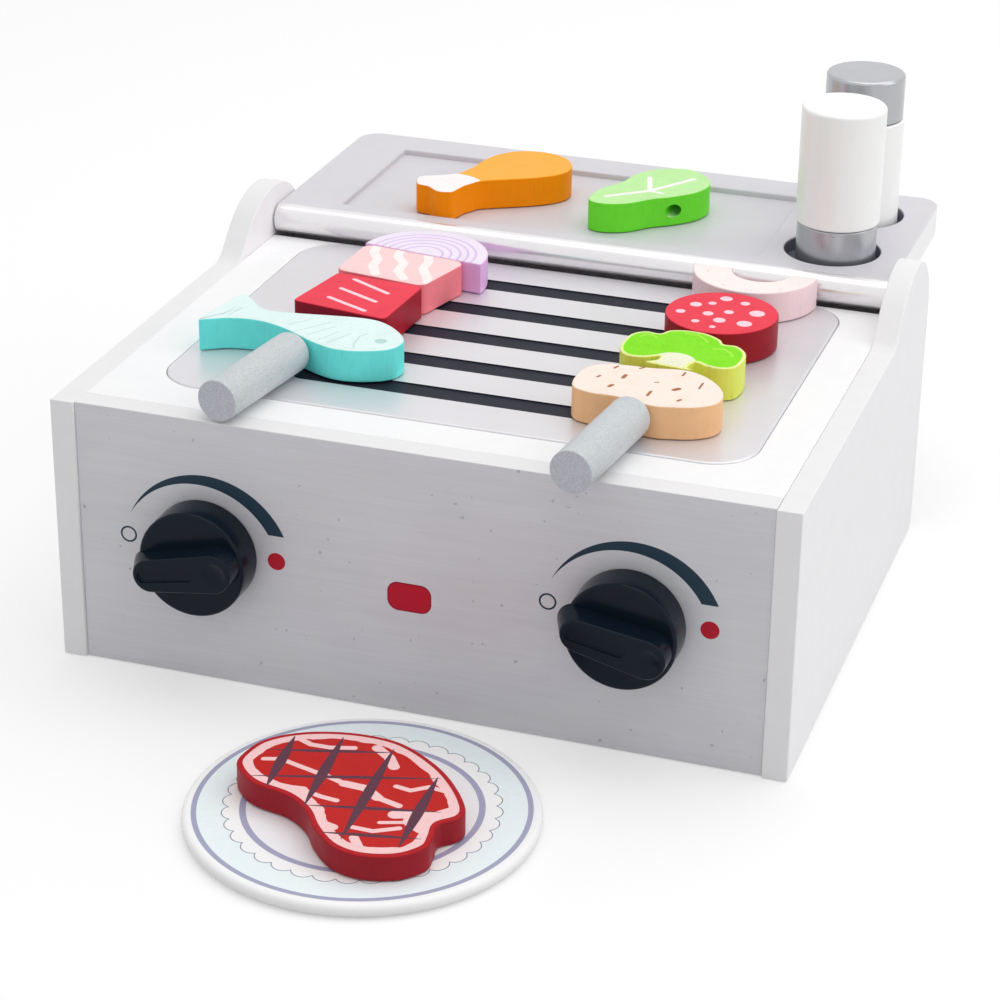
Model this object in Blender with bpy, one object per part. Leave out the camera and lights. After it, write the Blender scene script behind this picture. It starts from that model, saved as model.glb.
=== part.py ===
"""Wooden toy barbecue grill with a hinged shelf, two knobs, two skewers of food, shakers and a plate."""
import math

import bmesh
import bpy
from mathutils import Vector

# Clearance between pieces that touch, and how far a cutter runs past what it cuts
GAP = 0.0003
CUT_OVERRUN = 0.002

# Number of sides and steps of round shapes
WIDE_SIDES = 40
ROUND_SIDES = 28
ROD_SIDES = 12
DOWEL_SIDES = 8
CORNER_STEPS = 4

# Box of panels: width along X, depth along Y, height along Z
BODY_WIDTH = 0.270
BODY_DEPTH = 0.212
BODY_HEIGHT = 0.1005
PANEL_THICKNESS = 0.009
FRONT_INSET = 0.001
BACK_INSET = 0.001
BOTTOM_LIFT = 0.004

# Round ears at the back of the side panels, which carry the shelf
EAR_RISE = 0.0204
EAR_BACK_RADIUS = 0.028
EAR_FRONT_RADIUS = 0.040
EAR_FILLET_RADIUS = 0.012
EAR_SLOPE = math.radians(45)
SIDE_CORNER_RADIUS = 0.004

# Wooden dowels that join the front and back panels to the side panels
DOWEL_RADIUS = 0.003
DOWEL_LENGTH = 0.018
DOWEL_SIDE_DEPTH = 0.005
DOWEL_HEIGHT_SHARES = (0.28, 0.72)

# Grill plate, let into the top panel
PLATE_LEFT_MARGIN = 0.0177
PLATE_RIGHT_MARGIN = 0.0164
PLATE_FRONT_MARGIN = 0.0267
PLATE_BACK_MARGIN = 0.0315
PLATE_CORNER_RADIUS = 0.017
PLATE_THICKNESS = 0.0035
PLATE_PROUD = 0.0005
GROOVE_COUNT = 5
GROOVE_PITCH = 0.0265
GROOVE_WIDTH = 0.010
GROOVE_DEPTH = 0.0005
GROOVE_END_MARGIN = 0.0444
GROOVE_SHIFT = 0.0008

# Turning knobs on the front panel
KNOB_SPACING_SHARE = 0.576
KNOB_HEIGHT_SHARE = 0.504
KNOB_RADIUS = 0.0198
KNOB_HEIGHT = 0.0125
KNOB_EDGE = 0.0008
KNOB_STEM_RADIUS = 0.005
KNOB_LEFT_ANGLE = math.radians(191)
KNOB_RIGHT_ANGLE = math.radians(168.5)
POINTER_HEIGHT = 0.0085
POINTER_REACH = 0.0224
POINTER_TIP_WIDTH = 0.0128
POINTER_HEAD_WIDTH = 0.0152
POINTER_TIP_SLOPE = 0.004
POINTER_SIDE_SLOPE = 0.0004
THUMB_GROOVE_WIDTH = 0.0045
THUMB_GROOVE_DEPTH = 0.001
THUMB_GROOVE_SHARES = (-0.20, 0.76)
DIMPLE_RADIUS = 0.0048
DIMPLE_DEPTH = 0.0012
DIMPLE_SHARE = -0.56
WASHER_RADIUS = 0.008
WASHER_THICKNESS = 0.001
SCREW_HEAD_RADIUS = 0.0045
SCREW_HEAD_HEIGHT = 0.0024
SCREW_FACE_SHARE = 0.7
SCREW_SHANK_RADIUS = 0.0015
SCREW_SHANK_LENGTH = 0.012

# Shelf, hinged between the ears on two pins that lie on the axis of its round front edge. It lies on
# the back panel's top edge, and the top panel ends just under its front edge
SHELF_THICKNESS = 0.012
TOP_UNDER_SHELF = 0.0016
SHELF_SIDE_CLEARANCE = 0.0007
SHELF_NOSE_BEFORE_BACK = 0.0324
SHELF_CORNER_RADIUS = 0.0105
HINGE_PIN_RADIUS = 0.0025
HINGE_PIN_LENGTH = 0.020
HINGE_PIN_EAR_DEPTH = 0.005
TRAY_FRONT_RIM = 0.0129
TRAY_BACK_RIM = 0.0175
TRAY_LEFT_RIM = 0.0243
TRAY_RIGHT_RIM = 0.0543
TRAY_FRONT_SPACE = 0.0006
TRAY_BACK_SPACE = 0.0112
TRAY_RECESS = 0.0022
TRAY_CORNER_RADIUS = 0.0008
POCKET_CLEARANCE = 0.0025
POCKET_DEPTH = 0.006
POCKET_SIDE_SETBACK = 0.0293
POCKET_DEPTH_SHARES = (0.3062, 0.7384)

# Salt and pepper shakers: a turned body with a tenon, and a cap on the tenon
SHAKER_RADIUS = 0.0162
SHAKER_BODY_HEIGHT = 0.0460
SHAKER_CAP_RADIUS = 0.0155
SHAKER_CAP_HEIGHT = 0.0178
SHAKER_EDGE = 0.0012
TENON_RADIUS = 0.008
TENON_LENGTH = 0.006
FRONT_SHAKER_SHIFT_SHARE = 0.5

# Foods are flat cut-outs of one thickness, and those on a skewer are drilled for the rod
FOOD_THICKNESS = 0.0122
FOOD_HOLE_HEIGHT_SHARE = 0.56
FOOD_HOLE_RADIUS = 0.0027

# Skewers: a dowel handle with a thin metal rod
HANDLE_RADIUS = 0.0076
HANDLE_LENGTH = 0.052
HANDLE_ROUND = 0.003
HANDLE_FACE_EDGE = 0.0003
ROD_RADIUS = 0.0015
ROD_IN_HANDLE = 0.015
ROD_TIP_COVER = 0.004
LEFT_ROW_ANGLE = math.radians(-8)
RIGHT_ROW_ANGLE = math.radians(-6.4)
LEFT_ROW_WIDTH_SHARE = 0.326
RIGHT_ROW_WIDTH_SHARE = 0.7999
LEFT_ROW_BACK_CLEARANCE = 0.0050
RIGHT_ROW_BACK_CLEARANCE = 0.0034
ROW_SPACE = 0.0004

# Foods of the left skewer: width across the rod, length along it, and shift to the right of it
FISH_WIDTH = 0.0763
FISH_LENGTH = 0.0312
FISH_SHIFT = -0.0018
FISH_SPACE_BEHIND = 0.0017
MEAT_WIDTH = 0.0392
MEAT_LENGTH = 0.0356
MEAT_SHIFT = 0.0002
MEAT_CORNER_RADIUS = 0.003
BACON_WIDTH = 0.0436
BACON_LENGTH = 0.0298
BACON_SHIFT = -0.0025
BACON_CORNER_RADIUS = 0.0045
ONION_WIDTH = 0.0500
ONION_LENGTH = 0.0258
ONION_SHIFT = 0.0

# Foods of the right skewer
BREAD_WIDTH = 0.0535
BREAD_LENGTH = 0.0341
BREAD_SHIFT = -0.0004
BROCCOLI_WIDTH = 0.0456
BROCCOLI_LENGTH = 0.0345
BROCCOLI_SHIFT = -0.0019
SALAMI_DIAMETER = 0.0416
SALAMI_SHIFT = -0.0026
SALAMI_SPACE_BEHIND = 0.0019
RING_WIDTH = 0.0478
RING_LENGTH = 0.0244
RING_ARCH_RADIUS = 0.0115
RING_ARCH_SHIFT = 0.0025
RING_SHIFT = -0.0054
RING_TURN = math.radians(6.4)

# Foods on the shelf
CHICKEN_WIDTH = 0.0548
CHICKEN_LENGTH = 0.0612
CHICKEN_TRAY_SHARE = 0.319
PEPPER_WIDTH = 0.0414
PEPPER_LENGTH = 0.0519
PEPPER_TRAY_SHARES = (0.695, 0.4916)
PEPPER_HOLE_SHARE = 0.26
PEPPER_HOLE_DEPTH = 0.030

# Plate on the floor in front of the grill, with the steak on it
DISH_RADIUS = 0.0595
DISH_THICKNESS = 0.0048
DISH_EDGE = 0.0022
DISH_FRONT_SPACE = 0.0107
DISH_WIDTH_SHARE = 0.532
STEAK_WIDTH = 0.0824
STEAK_LENGTH = 0.0714
STEAK_THICKNESS = 0.0092
STEAK_SHIFT_SHARES = (-0.052, -0.108)

# Outlines as shares of a piece's width and length, measured from its middle
FISH_SHARES = (
    (-0.50, -0.40), (-0.49, 0.47), (-0.41, 0.40), (-0.29, 0.19), (-0.13, 0.26), (0.01, 0.37),
    (0.16, 0.48), (0.28, 0.50), (0.40, 0.36), (0.50, 0.10), (0.49, -0.21), (0.37, -0.43),
    (0.26, -0.50), (0.16, -0.46), (0.07, -0.38), (-0.05, -0.25), (-0.17, -0.17), (-0.28, -0.17),
    (-0.39, -0.27), (-0.47, -0.42))
MEAT_SHARES = ((-0.50, -0.48), (0.50, -0.50), (0.42, 0.50), (-0.48, 0.44))
BACON_SHARES = ((-0.43, -0.50), (0.43, -0.50), (0.50, 0.50), (-0.50, 0.49))
BREAD_SHARES = (
    (-0.50, -0.20), (-0.50, 0.12), (-0.41, 0.29), (-0.26, 0.36), (-0.11, 0.40), (0.13, 0.50),
    (0.33, 0.37), (0.47, 0.12), (0.50, -0.14), (0.41, -0.33), (0.27, -0.44), (0.12, -0.50),
    (-0.13, -0.44), (-0.30, -0.47), (-0.44, -0.41))
BROCCOLI_SHARES = (
    (-0.46, -0.30), (-0.50, -0.10), (-0.50, 0.14), (-0.42, 0.28), (-0.30, 0.29), (-0.25, 0.42),
    (-0.12, 0.50), (0.04, 0.50), (0.18, 0.41), (0.24, 0.31), (0.35, 0.32), (0.46, 0.18), (0.50, -0.03),
    (0.49, -0.23), (0.40, -0.33), (0.28, -0.33), (0.17, -0.28), (0.15, -0.44), (0.19, -0.50),
    (-0.17, -0.50), (-0.12, -0.40), (-0.13, -0.29), (-0.24, -0.40), (-0.37, -0.42))
CHICKEN_SHARES = (
    (-0.49, -0.30), (-0.45, -0.40), (-0.40, -0.42), (-0.35, -0.43), (-0.30, -0.47), (-0.25, -0.50),
    (-0.20, -0.50), (-0.15, -0.48), (-0.13, -0.42), (-0.11, -0.34), (-0.07, -0.27), (-0.01, -0.20),
    (0.33, -0.02), (0.48, 0.12), (0.50, 0.27), (0.40, 0.43), (0.21, 0.50), (0.02, 0.46),
    (-0.10, 0.35), (-0.16, 0.21), (-0.18, 0.07), (-0.21, -0.04), (-0.24, -0.11), (-0.29, -0.15),
    (-0.35, -0.19), (-0.41, -0.22), (-0.47, -0.25))
PEPPER_SHARES = (
    (-0.50, -0.40), (-0.47, -0.19), (-0.33, 0.02), (-0.28, 0.20), (-0.19, 0.35), (-0.02, 0.46),
    (0.20, 0.50), (0.41, 0.38), (0.50, 0.19), (0.44, 0.00), (0.27, -0.16), (0.08, -0.28),
    (-0.09, -0.43), (-0.27, -0.50), (-0.43, -0.49))
STEAK_SHARES = (
    (-0.49, 0.04), (-0.50, 0.16), (-0.46, 0.30), (-0.34, 0.42), (-0.17, 0.49), (0.00, 0.50),
    (0.13, 0.455), (0.29, 0.33), (0.41, 0.18), (0.49, 0.03), (0.49, -0.06), (0.43, -0.14),
    (0.44, -0.24), (0.44, -0.34), (0.36, -0.45), (0.22, -0.50), (0.09, -0.465), (-0.02, -0.35),
    (-0.10, -0.225), (-0.21, -0.135), (-0.38, -0.08))

# Heights and places that follow from the sizes above
PLATE_TOP = BODY_HEIGHT + PLATE_PROUD
HINGE_Y = BODY_DEPTH - SHELF_NOSE_BEFORE_BACK + SHELF_THICKNESS / 2
HINGE_Z = BODY_HEIGHT + GAP + SHELF_THICKNESS / 2
SHELF_WIDTH = BODY_WIDTH - 2 * (PANEL_THICKNESS + SHELF_SIDE_CLEARANCE)
SHELF_NOSE = HINGE_Y - SHELF_THICKNESS / 2
TRAY_LENGTH = TRAY_FRONT_SPACE + CHICKEN_LENGTH + TRAY_BACK_SPACE
SHELF_LENGTH = TRAY_FRONT_RIM + TRAY_LENGTH + TRAY_BACK_RIM
SHELF_TOP = HINGE_Z + SHELF_THICKNESS / 2
FOOD_BASE = PLATE_TOP + GAP
HANDLE_Z = FOOD_BASE + HANDLE_RADIUS
KNOB_Z = BODY_HEIGHT * KNOB_HEIGHT_SHARE
DISH_Y = -(DISH_FRONT_SPACE + DISH_RADIUS)
MIDDLE_X = BODY_WIDTH / 2
MIDDLE_Y = (SHELF_NOSE + SHELF_LENGTH + DISH_Y - DISH_RADIUS) / 2


def clear_scene():
    """Remove whatever the scene holds."""
    for item in list(bpy.data.objects):
        bpy.data.objects.remove(item, do_unlink=True)


def material(name, colour, roughness, metallic=0.0):
    """Give the named Principled material, made on first use."""
    found = bpy.data.materials.get(name)
    if found:
        return found
    made = bpy.data.materials.new(name)
    made.use_nodes = True
    shader = made.node_tree.nodes["Principled BSDF"]
    shader.inputs["Base Color"].default_value = (*colour, 1.0)
    shader.inputs["Roughness"].default_value = roughness
    shader.inputs["Metallic"].default_value = metallic
    made.diffuse_color = (*colour, 1.0)
    return made


def add_object(name, mesh, finish=None, parent=None):
    """Link a mesh as an object, with its material and parent."""
    made = bpy.data.objects.new(name, mesh)
    bpy.context.scene.collection.objects.link(made)
    if finish:
        mesh.materials.append(finish)
    made.parent = parent
    return made


def add_empty(name, x, y, z, turn=0.0, parent=None):
    """Place an empty in the row's frame, from a place measured on the grill's body."""
    made = bpy.data.objects.new(name, None)
    bpy.context.scene.collection.objects.link(made)
    made.parent = parent
    made.location = (x, y, z) if parent else (x - MIDDLE_X, y - MIDDLE_Y, z)
    made.rotation_euler = (0.0, 0.0, turn)
    return made


def place(item, x, y, z):
    """Place an object without a parent, from a place measured on the grill's body."""
    item.location = (x - MIDDLE_X, y - MIDDLE_Y, z)
    return item


def mesh_from(bm, name):
    """Turn a bmesh into a mesh with outward faces and smooth round sides."""
    bmesh.ops.recalc_face_normals(bm, faces=bm.faces)
    mesh = bpy.data.meshes.new(name)
    bm.to_mesh(mesh)
    bm.free()
    mesh.shade_smooth()
    mesh.set_sharp_from_angle(angle=math.radians(35))
    return mesh


def add_loft(bm, lower, upper):
    """Join two rings of as many points with sides, and close both ends."""
    low = [bm.verts.new(point) for point in lower]
    high = [bm.verts.new(point) for point in upper]
    count = len(low)
    for i in range(count):
        j = (i + 1) % count
        bm.faces.new((low[i], low[j], high[j], high[i]))
    bm.faces.new(list(reversed(low)))
    bm.faces.new(high)


def prism_mesh(name, outline, start, end, axis="Z"):
    """Extrude a flat outline from start to end along an axis."""
    turned = {"Z": lambda u, v, w: (u, v, w), "X": lambda u, v, w: (w, u, v)}[axis]
    bm = bmesh.new()
    add_loft(bm, [turned(u, v, start) for u, v in outline], [turned(u, v, end) for u, v in outline])
    return mesh_from(bm, name)


def turned_mesh(name, profile, sides):
    """Turn a profile of (radius, height) points, which starts and ends on the axis, about Z."""
    bm = bmesh.new()
    rings = []
    for radius, height in profile:
        if radius == 0:
            rings.append([bm.verts.new((0, 0, height))])
            continue
        angles = [2 * math.pi * i / sides for i in range(sides)]
        rings.append([bm.verts.new((radius * math.cos(a), radius * math.sin(a), height)) for a in angles])
    for lower, upper in zip(rings, rings[1:]):
        for i in range(sides):
            j = (i + 1) % sides
            corners = [lower[i % len(lower)], lower[j % len(lower)], upper[j % len(upper)],
                       upper[i % len(upper)]]
            bm.faces.new(list(dict.fromkeys(corners)))
    return mesh_from(bm, name)


def add_cylinder(bm, start, direction, radius, length, sides):
    """Add a closed cylinder that runs from start along a direction."""
    axis = Vector(direction).normalized()
    side = axis.orthogonal().normalized()
    other = axis.cross(side)
    ring = []
    for i in range(sides):
        angle = 2 * math.pi * i / sides
        ring.append(side * radius * math.cos(angle) + other * radius * math.sin(angle))
    first = Vector(start)
    last = first + axis * length
    add_loft(bm, [first + point for point in ring], [last + point for point in ring])


def arc(centre_u, centre_v, radius, start, end, steps):
    """List points along an arc, from one angle to another."""
    angles = [start + (end - start) * i / steps for i in range(steps + 1)]
    return [(centre_u + radius * math.cos(a), centre_v + radius * math.sin(a)) for a in angles]


def rounded(points, radius, steps=CORNER_STEPS):
    """Round the corners of a polygon, with a radius that its shorter sides limit."""
    outline = []
    count = len(points)
    for i in range(count):
        corner = Vector(points[i])
        back = Vector(points[i - 1]) - corner
        ahead = Vector(points[(i + 1) % count]) - corner
        half = back.angle(ahead) / 2
        reach = min(radius / math.tan(half), back.length * 0.49, ahead.length * 0.49)
        start = corner + back.normalized() * reach
        end = corner + ahead.normalized() * reach
        for k in range(steps + 1):
            t = k / steps
            point = start * (1 - t) ** 2 + corner * 2 * t * (1 - t) + end * t ** 2
            outline.append((point.x, point.y))
    return outline


def rectangle(low_u, low_v, high_u, high_v):
    """List the corners of a rectangle."""
    return [(low_u, low_v), (high_u, low_v), (high_u, high_v), (low_u, high_v)]


def curved(shares, width, length):
    """Draw a closed curve through an outline of shares, as wide and as long as the piece."""
    outline = []
    count = len(shares)
    for i in range(count):
        before, start, end, after = (Vector(shares[(i + k) % count]) for k in (-1, 0, 1, 2))
        middle = ((start + end) * 9 - before - after) / 16
        outline += [start, middle]
    low_u, high_u = (pick(point.x for point in outline) for pick in (min, max))
    low_v, high_v = (pick(point.y for point in outline) for pick in (min, max))
    scale_u = width / (high_u - low_u)
    scale_v = length / (high_v - low_v)
    return [((point.x - low_u) * scale_u - width / 2, (point.y - low_v) * scale_v - length / 2)
            for point in outline]


def half_disc(width, length, steps):
    """Outline of a half disc whose flat side is at the front and whose arc bulges to the back."""
    points = []
    for i in range(steps + 1):
        angle = math.pi * i / steps
        points.append((width / 2 * math.cos(angle), length * math.sin(angle) - length / 2))
    return points


def add_cut(target, cutter, operation="DIFFERENCE"):
    """Cut a target by another object, which stays in the scene as a guide."""
    cut = target.modifiers.new(cutter.name, "BOOLEAN")
    cut.operation = operation
    cut.solver = "EXACT"
    cut.object = cutter
    cutter.hide_render = True
    cutter.display_type = "WIRE"


def bore(target, name, start, direction, radius, length, sides=ROD_SIDES, parent=None, place_at=None):
    """Drill a round hole into a target, measured as the target's own parent measures it."""
    bm = bmesh.new()
    add_cylinder(bm, start, direction, radius, length, sides)
    cutter = add_object(name, mesh_from(bm, name), parent=parent)
    if place_at:
        place(cutter, *place_at)
    add_cut(target, cutter)
    return cutter


def wood_white():
    """White paint of the side and top panels."""
    return material("white_paint", (0.88, 0.88, 0.88), 0.45)


def silver_foil():
    """Silver foil of the front panel and the grill plate."""
    return material("silver_foil", (0.48, 0.48, 0.52), 0.38, 0.35)


def bare_board():
    """Unpainted board inside the box."""
    return material("bare_board", (0.52, 0.38, 0.24), 0.8)


def paint(name, red, green, blue):
    """Satin paint of one food."""
    return material(name, (red, green, blue), 0.4)


def ear_outline():
    """Side panel seen from the right: a low box with a round ear at the back."""
    peak_y = BODY_DEPTH - EAR_BACK_RADIUS
    peak_z = BODY_HEIGHT + EAR_RISE
    slope_sin = math.sin(EAR_SLOPE)
    slope_fall = 1 - math.cos(EAR_SLOPE)
    front_y = peak_y - EAR_FRONT_RADIUS * slope_sin
    front_z = peak_z - EAR_FRONT_RADIUS * slope_fall
    fillet_z = BODY_HEIGHT + EAR_FILLET_RADIUS * slope_fall
    fillet_y = front_y - (front_z - fillet_z) / math.tan(EAR_SLOPE)
    quarter = math.pi / 2
    outline = rounded([(0, 0), (BODY_DEPTH, 0), (BODY_DEPTH, BODY_HEIGHT)], SIDE_CORNER_RADIUS)
    outline = outline[CORNER_STEPS + 1:2 * (CORNER_STEPS + 1)]
    outline += arc(peak_y, peak_z - EAR_BACK_RADIUS, EAR_BACK_RADIUS, 0, quarter, 10)[:-1]
    outline += arc(peak_y, peak_z - EAR_FRONT_RADIUS, EAR_FRONT_RADIUS, quarter, quarter + EAR_SLOPE, 6)
    fillet_centre_y = fillet_y - EAR_FILLET_RADIUS * slope_sin
    fillet_centre_z = BODY_HEIGHT + EAR_FILLET_RADIUS
    outline += arc(fillet_centre_y, fillet_centre_z, EAR_FILLET_RADIUS, EAR_SLOPE - quarter, -quarter, 5)
    return outline + [(0, BODY_HEIGHT), (0, 0)]


def dowel_places():
    """Name, start and direction of each dowel, from inside a side panel into the panel beside it."""
    inner = PANEL_THICKNESS - DOWEL_SIDE_DEPTH
    half = PANEL_THICKNESS / 2
    places = []
    for side, x, direction in (("left", inner, 1), ("right", BODY_WIDTH - inner, -1)):
        for end, y in (("front", FRONT_INSET + half), ("back", BODY_DEPTH - BACK_INSET - half)):
            for level, share in zip(("low", "high"), DOWEL_HEIGHT_SHARES):
                start = (x, y, BODY_HEIGHT * share)
                places.append((f"dowel_{end}_{side}_{level}", start, (direction, 0, 0)))
    return places


def dowel_hole_mesh():
    """Holes of all the dowels, with a clearance all round."""
    bm = bmesh.new()
    for _, start, direction in dowel_places():
        moved = Vector(start) - Vector(direction) * GAP
        add_cylinder(bm, moved, direction, DOWEL_RADIUS + GAP, DOWEL_LENGTH + 2 * GAP, DOWEL_SIDES)
    return mesh_from(bm, "dowel_holes")


def build_box():
    """Side, front, back, bottom and top panels, with the dowels that join them."""
    holes = place(add_object("dowel_holes", dowel_hole_mesh()), 0, 0, 0)
    for name, start, direction in dowel_places():
        bm = bmesh.new()
        add_cylinder(bm, start, direction, DOWEL_RADIUS, DOWEL_LENGTH, DOWEL_SIDES)
        place(add_object(name, mesh_from(bm, name), bare_board()), 0, 0, 0)
    outline = ear_outline()
    sides = []
    for name, start in (("side_panel_left", 0), ("side_panel_right", BODY_WIDTH - PANEL_THICKNESS)):
        mesh = prism_mesh(name, outline, start, start + PANEL_THICKNESS, "X")
        sides.append(place(add_object(name, mesh, wood_white()), 0, 0, 0))
    low_x = PANEL_THICKNESS + GAP
    high_x = BODY_WIDTH - low_x
    front_back = FRONT_INSET + PANEL_THICKNESS
    back_front = BODY_DEPTH - BACK_INSET - PANEL_THICKNESS
    panels = {
        "front_panel": (rectangle(low_x, FRONT_INSET, high_x, front_back), 0, BODY_HEIGHT, silver_foil()),
        "back_panel": (rectangle(low_x, back_front, high_x, back_front + PANEL_THICKNESS), 0, BODY_HEIGHT,
                       wood_white()),
        "bottom_panel": (rectangle(low_x, front_back + GAP, high_x, back_front - GAP), BOTTOM_LIFT,
                         BOTTOM_LIFT + PANEL_THICKNESS, bare_board()),
        "top_panel": (rectangle(low_x, front_back + GAP, high_x, SHELF_NOSE + TOP_UNDER_SHELF),
                      BODY_HEIGHT - PANEL_THICKNESS, BODY_HEIGHT, wood_white()),
    }
    made = {}
    for name, (outline, low_z, high_z, finish) in panels.items():
        mesh = prism_mesh(name, outline, low_z, high_z)
        made[name] = place(add_object(name, mesh, finish), 0, 0, 0)
    for panel in sides + [made["front_panel"], made["back_panel"]]:
        add_cut(panel, holes)
    return sides, made


def plate_outline(growth=0.0):
    """Outline of the grill plate, grown for its recess."""
    low_x = PANEL_THICKNESS + PLATE_LEFT_MARGIN - growth
    high_x = BODY_WIDTH - PANEL_THICKNESS - PLATE_RIGHT_MARGIN + growth
    low_y = PLATE_FRONT_MARGIN - growth
    high_y = BODY_DEPTH - PLATE_BACK_MARGIN + growth
    return rounded(rectangle(low_x, low_y, high_x, high_y), PLATE_CORNER_RADIUS + growth)


def build_grill_plate(top_panel):
    """Silver plate let into the top panel, with shallow grooves across it."""
    bottom = PLATE_TOP - PLATE_THICKNESS
    recess = prism_mesh("plate_recess", plate_outline(GAP), bottom - GAP, BODY_HEIGHT + CUT_OVERRUN)
    add_cut(top_panel, place(add_object("plate_recess", recess), 0, 0, 0))
    mesh = prism_mesh("grill_plate", plate_outline(), bottom, PLATE_TOP)
    plate = place(add_object("grill_plate", mesh, silver_foil()), 0, 0, 0)
    middle = (PLATE_FRONT_MARGIN + BODY_DEPTH - PLATE_BACK_MARGIN) / 2 + GROOVE_SHIFT
    low_x = PANEL_THICKNESS + PLATE_LEFT_MARGIN + GROOVE_END_MARGIN
    high_x = BODY_WIDTH - PANEL_THICKNESS - PLATE_RIGHT_MARGIN - GROOVE_END_MARGIN
    bm = bmesh.new()
    for i in range(GROOVE_COUNT):
        centre = middle + (i - (GROOVE_COUNT - 1) / 2) * GROOVE_PITCH
        slot = rounded(rectangle(low_x, centre - GROOVE_WIDTH / 2, high_x, centre + GROOVE_WIDTH / 2),
                       GROOVE_WIDTH / 2, 3)
        floor = PLATE_TOP - GROOVE_DEPTH
        add_loft(bm, [(x, y, floor) for x, y in slot], [(x, y, PLATE_TOP + CUT_OVERRUN) for x, y in slot])
    add_cut(plate, place(add_object("plate_grooves", mesh_from(bm, "plate_grooves")), 0, 0, 0))


def pointer_outline(shrink_tip, shrink_side):
    """Tapered outline of a knob's pointer, with the tip towards +X."""
    tip = POINTER_TIP_WIDTH / 2 - shrink_side
    head = POINTER_HEAD_WIDTH / 2 - shrink_side
    tip_end = POINTER_REACH - shrink_tip
    head_middle = -(KNOB_RADIUS - KNOB_EDGE - POINTER_HEAD_WIDTH / 2)
    quarter = math.pi / 2
    outline = arc(tip_end - tip, 0, tip, -quarter, quarter, 6)
    return outline + arc(head_middle, 0, head, quarter, 3 * quarter, 8)


def build_knob(name, finish):
    """Round knob with a tapered pointer, and a hollow stem that passes through the front panel."""
    stem_end = -(PANEL_THICKNESS + 2 * GAP)
    profile = [(0, stem_end), (KNOB_STEM_RADIUS, stem_end), (KNOB_STEM_RADIUS, 0),
               (KNOB_RADIUS, 0), (KNOB_RADIUS, KNOB_HEIGHT - KNOB_EDGE),
               (KNOB_RADIUS - KNOB_EDGE, KNOB_HEIGHT), (0, KNOB_HEIGHT)]
    knob = add_object(name, turned_mesh(name, profile, ROUND_SIDES + 4), finish)
    top = KNOB_HEIGHT + POINTER_HEIGHT
    bm = bmesh.new()
    root = KNOB_HEIGHT - KNOB_EDGE
    add_loft(bm, [(x, y, root) for x, y in pointer_outline(0, 0)],
             [(x, y, top) for x, y in pointer_outline(POINTER_TIP_SLOPE, POINTER_SIDE_SLOPE)])
    add_cut(knob, add_object(name + "_pointer", mesh_from(bm, name + "_pointer"), parent=knob), "UNION")
    low_x, high_x = (share * POINTER_REACH for share in THUMB_GROOVE_SHARES)
    half = THUMB_GROOVE_WIDTH / 2
    slot = rounded(rectangle(low_x, -half, high_x, half), half, 3)
    groove = prism_mesh(name + "_groove", slot, top - THUMB_GROOVE_DEPTH, top + CUT_OVERRUN)
    add_cut(knob, add_object(name + "_groove", groove, parent=knob))
    ball = (DIMPLE_RADIUS ** 2 + DIMPLE_DEPTH ** 2) / (2 * DIMPLE_DEPTH)
    centre = top - DIMPLE_DEPTH + ball
    reach = math.asin(DIMPLE_RADIUS / ball)
    steps = 3
    profile = [(ball * math.sin(reach * i / steps), centre - ball * math.cos(reach * i / steps))
               for i in range(steps + 1)]
    dimple = turned_mesh(name + "_dimple", profile + [(DIMPLE_RADIUS, top + CUT_OVERRUN),
                                                      (0, top + CUT_OVERRUN)], ROD_SIDES)
    cutter = add_object(name + "_dimple", dimple, parent=knob)
    cutter.location.x = DIMPLE_SHARE * POINTER_REACH
    add_cut(knob, cutter)
    bore(knob, name + "_screw_hole", (0, 0, stem_end - CUT_OVERRUN), (0, 0, 1),
         SCREW_SHANK_RADIUS + GAP, SCREW_SHANK_LENGTH + CUT_OVERRUN + GAP, DOWEL_SIDES, parent=knob)
    return knob, stem_end


def build_knob_set(side, x, angle, front_panel):
    """One knob with the washer and the screw that hold it from behind the front panel."""
    knob, stem_end = build_knob("knob_" + side, material("black_plastic", (0.018, 0.022, 0.03), 0.35))
    metal = material("zinc_steel", (0.55, 0.55, 0.57), 0.35, 1.0)
    face = FRONT_INSET - GAP
    washer_low = stem_end - GAP - WASHER_THICKNESS
    hole = SCREW_SHANK_RADIUS + GAP
    washer = add_object("knob_washer_" + side, turned_mesh("washer", [
        (0, washer_low), (WASHER_RADIUS, washer_low), (WASHER_RADIUS, washer_low + WASHER_THICKNESS),
        (0, washer_low + WASHER_THICKNESS)], ROUND_SIDES), metal)
    head_top = washer_low - GAP
    screw = add_object("knob_screw_" + side, turned_mesh("screw", [
        (0, head_top - SCREW_HEAD_HEIGHT),
        (SCREW_HEAD_RADIUS * SCREW_FACE_SHARE, head_top - SCREW_HEAD_HEIGHT),
        (SCREW_HEAD_RADIUS, head_top - SCREW_HEAD_HEIGHT / 2), (SCREW_HEAD_RADIUS, head_top),
        (SCREW_SHANK_RADIUS, head_top), (SCREW_SHANK_RADIUS, head_top + SCREW_SHANK_LENGTH),
        (0, head_top + SCREW_SHANK_LENGTH)], ROD_SIDES), metal)
    for item in (knob, washer, screw):
        place(item, x, face, KNOB_Z)
        item.rotation_euler = (math.pi / 2, -angle, 0)
    bore(washer, "knob_washer_hole_" + side, (0, 0, washer_low - CUT_OVERRUN), (0, 0, 1), hole,
         WASHER_THICKNESS + 2 * CUT_OVERRUN, ROD_SIDES, parent=washer)
    bore(front_panel, "knob_hole_" + side, (0, -CUT_OVERRUN, 0), (0, 1, 0), KNOB_STEM_RADIUS + GAP,
         PANEL_THICKNESS + 2 * CUT_OVERRUN, ROUND_SIDES, place_at=(x, FRONT_INSET, KNOB_Z))


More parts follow.
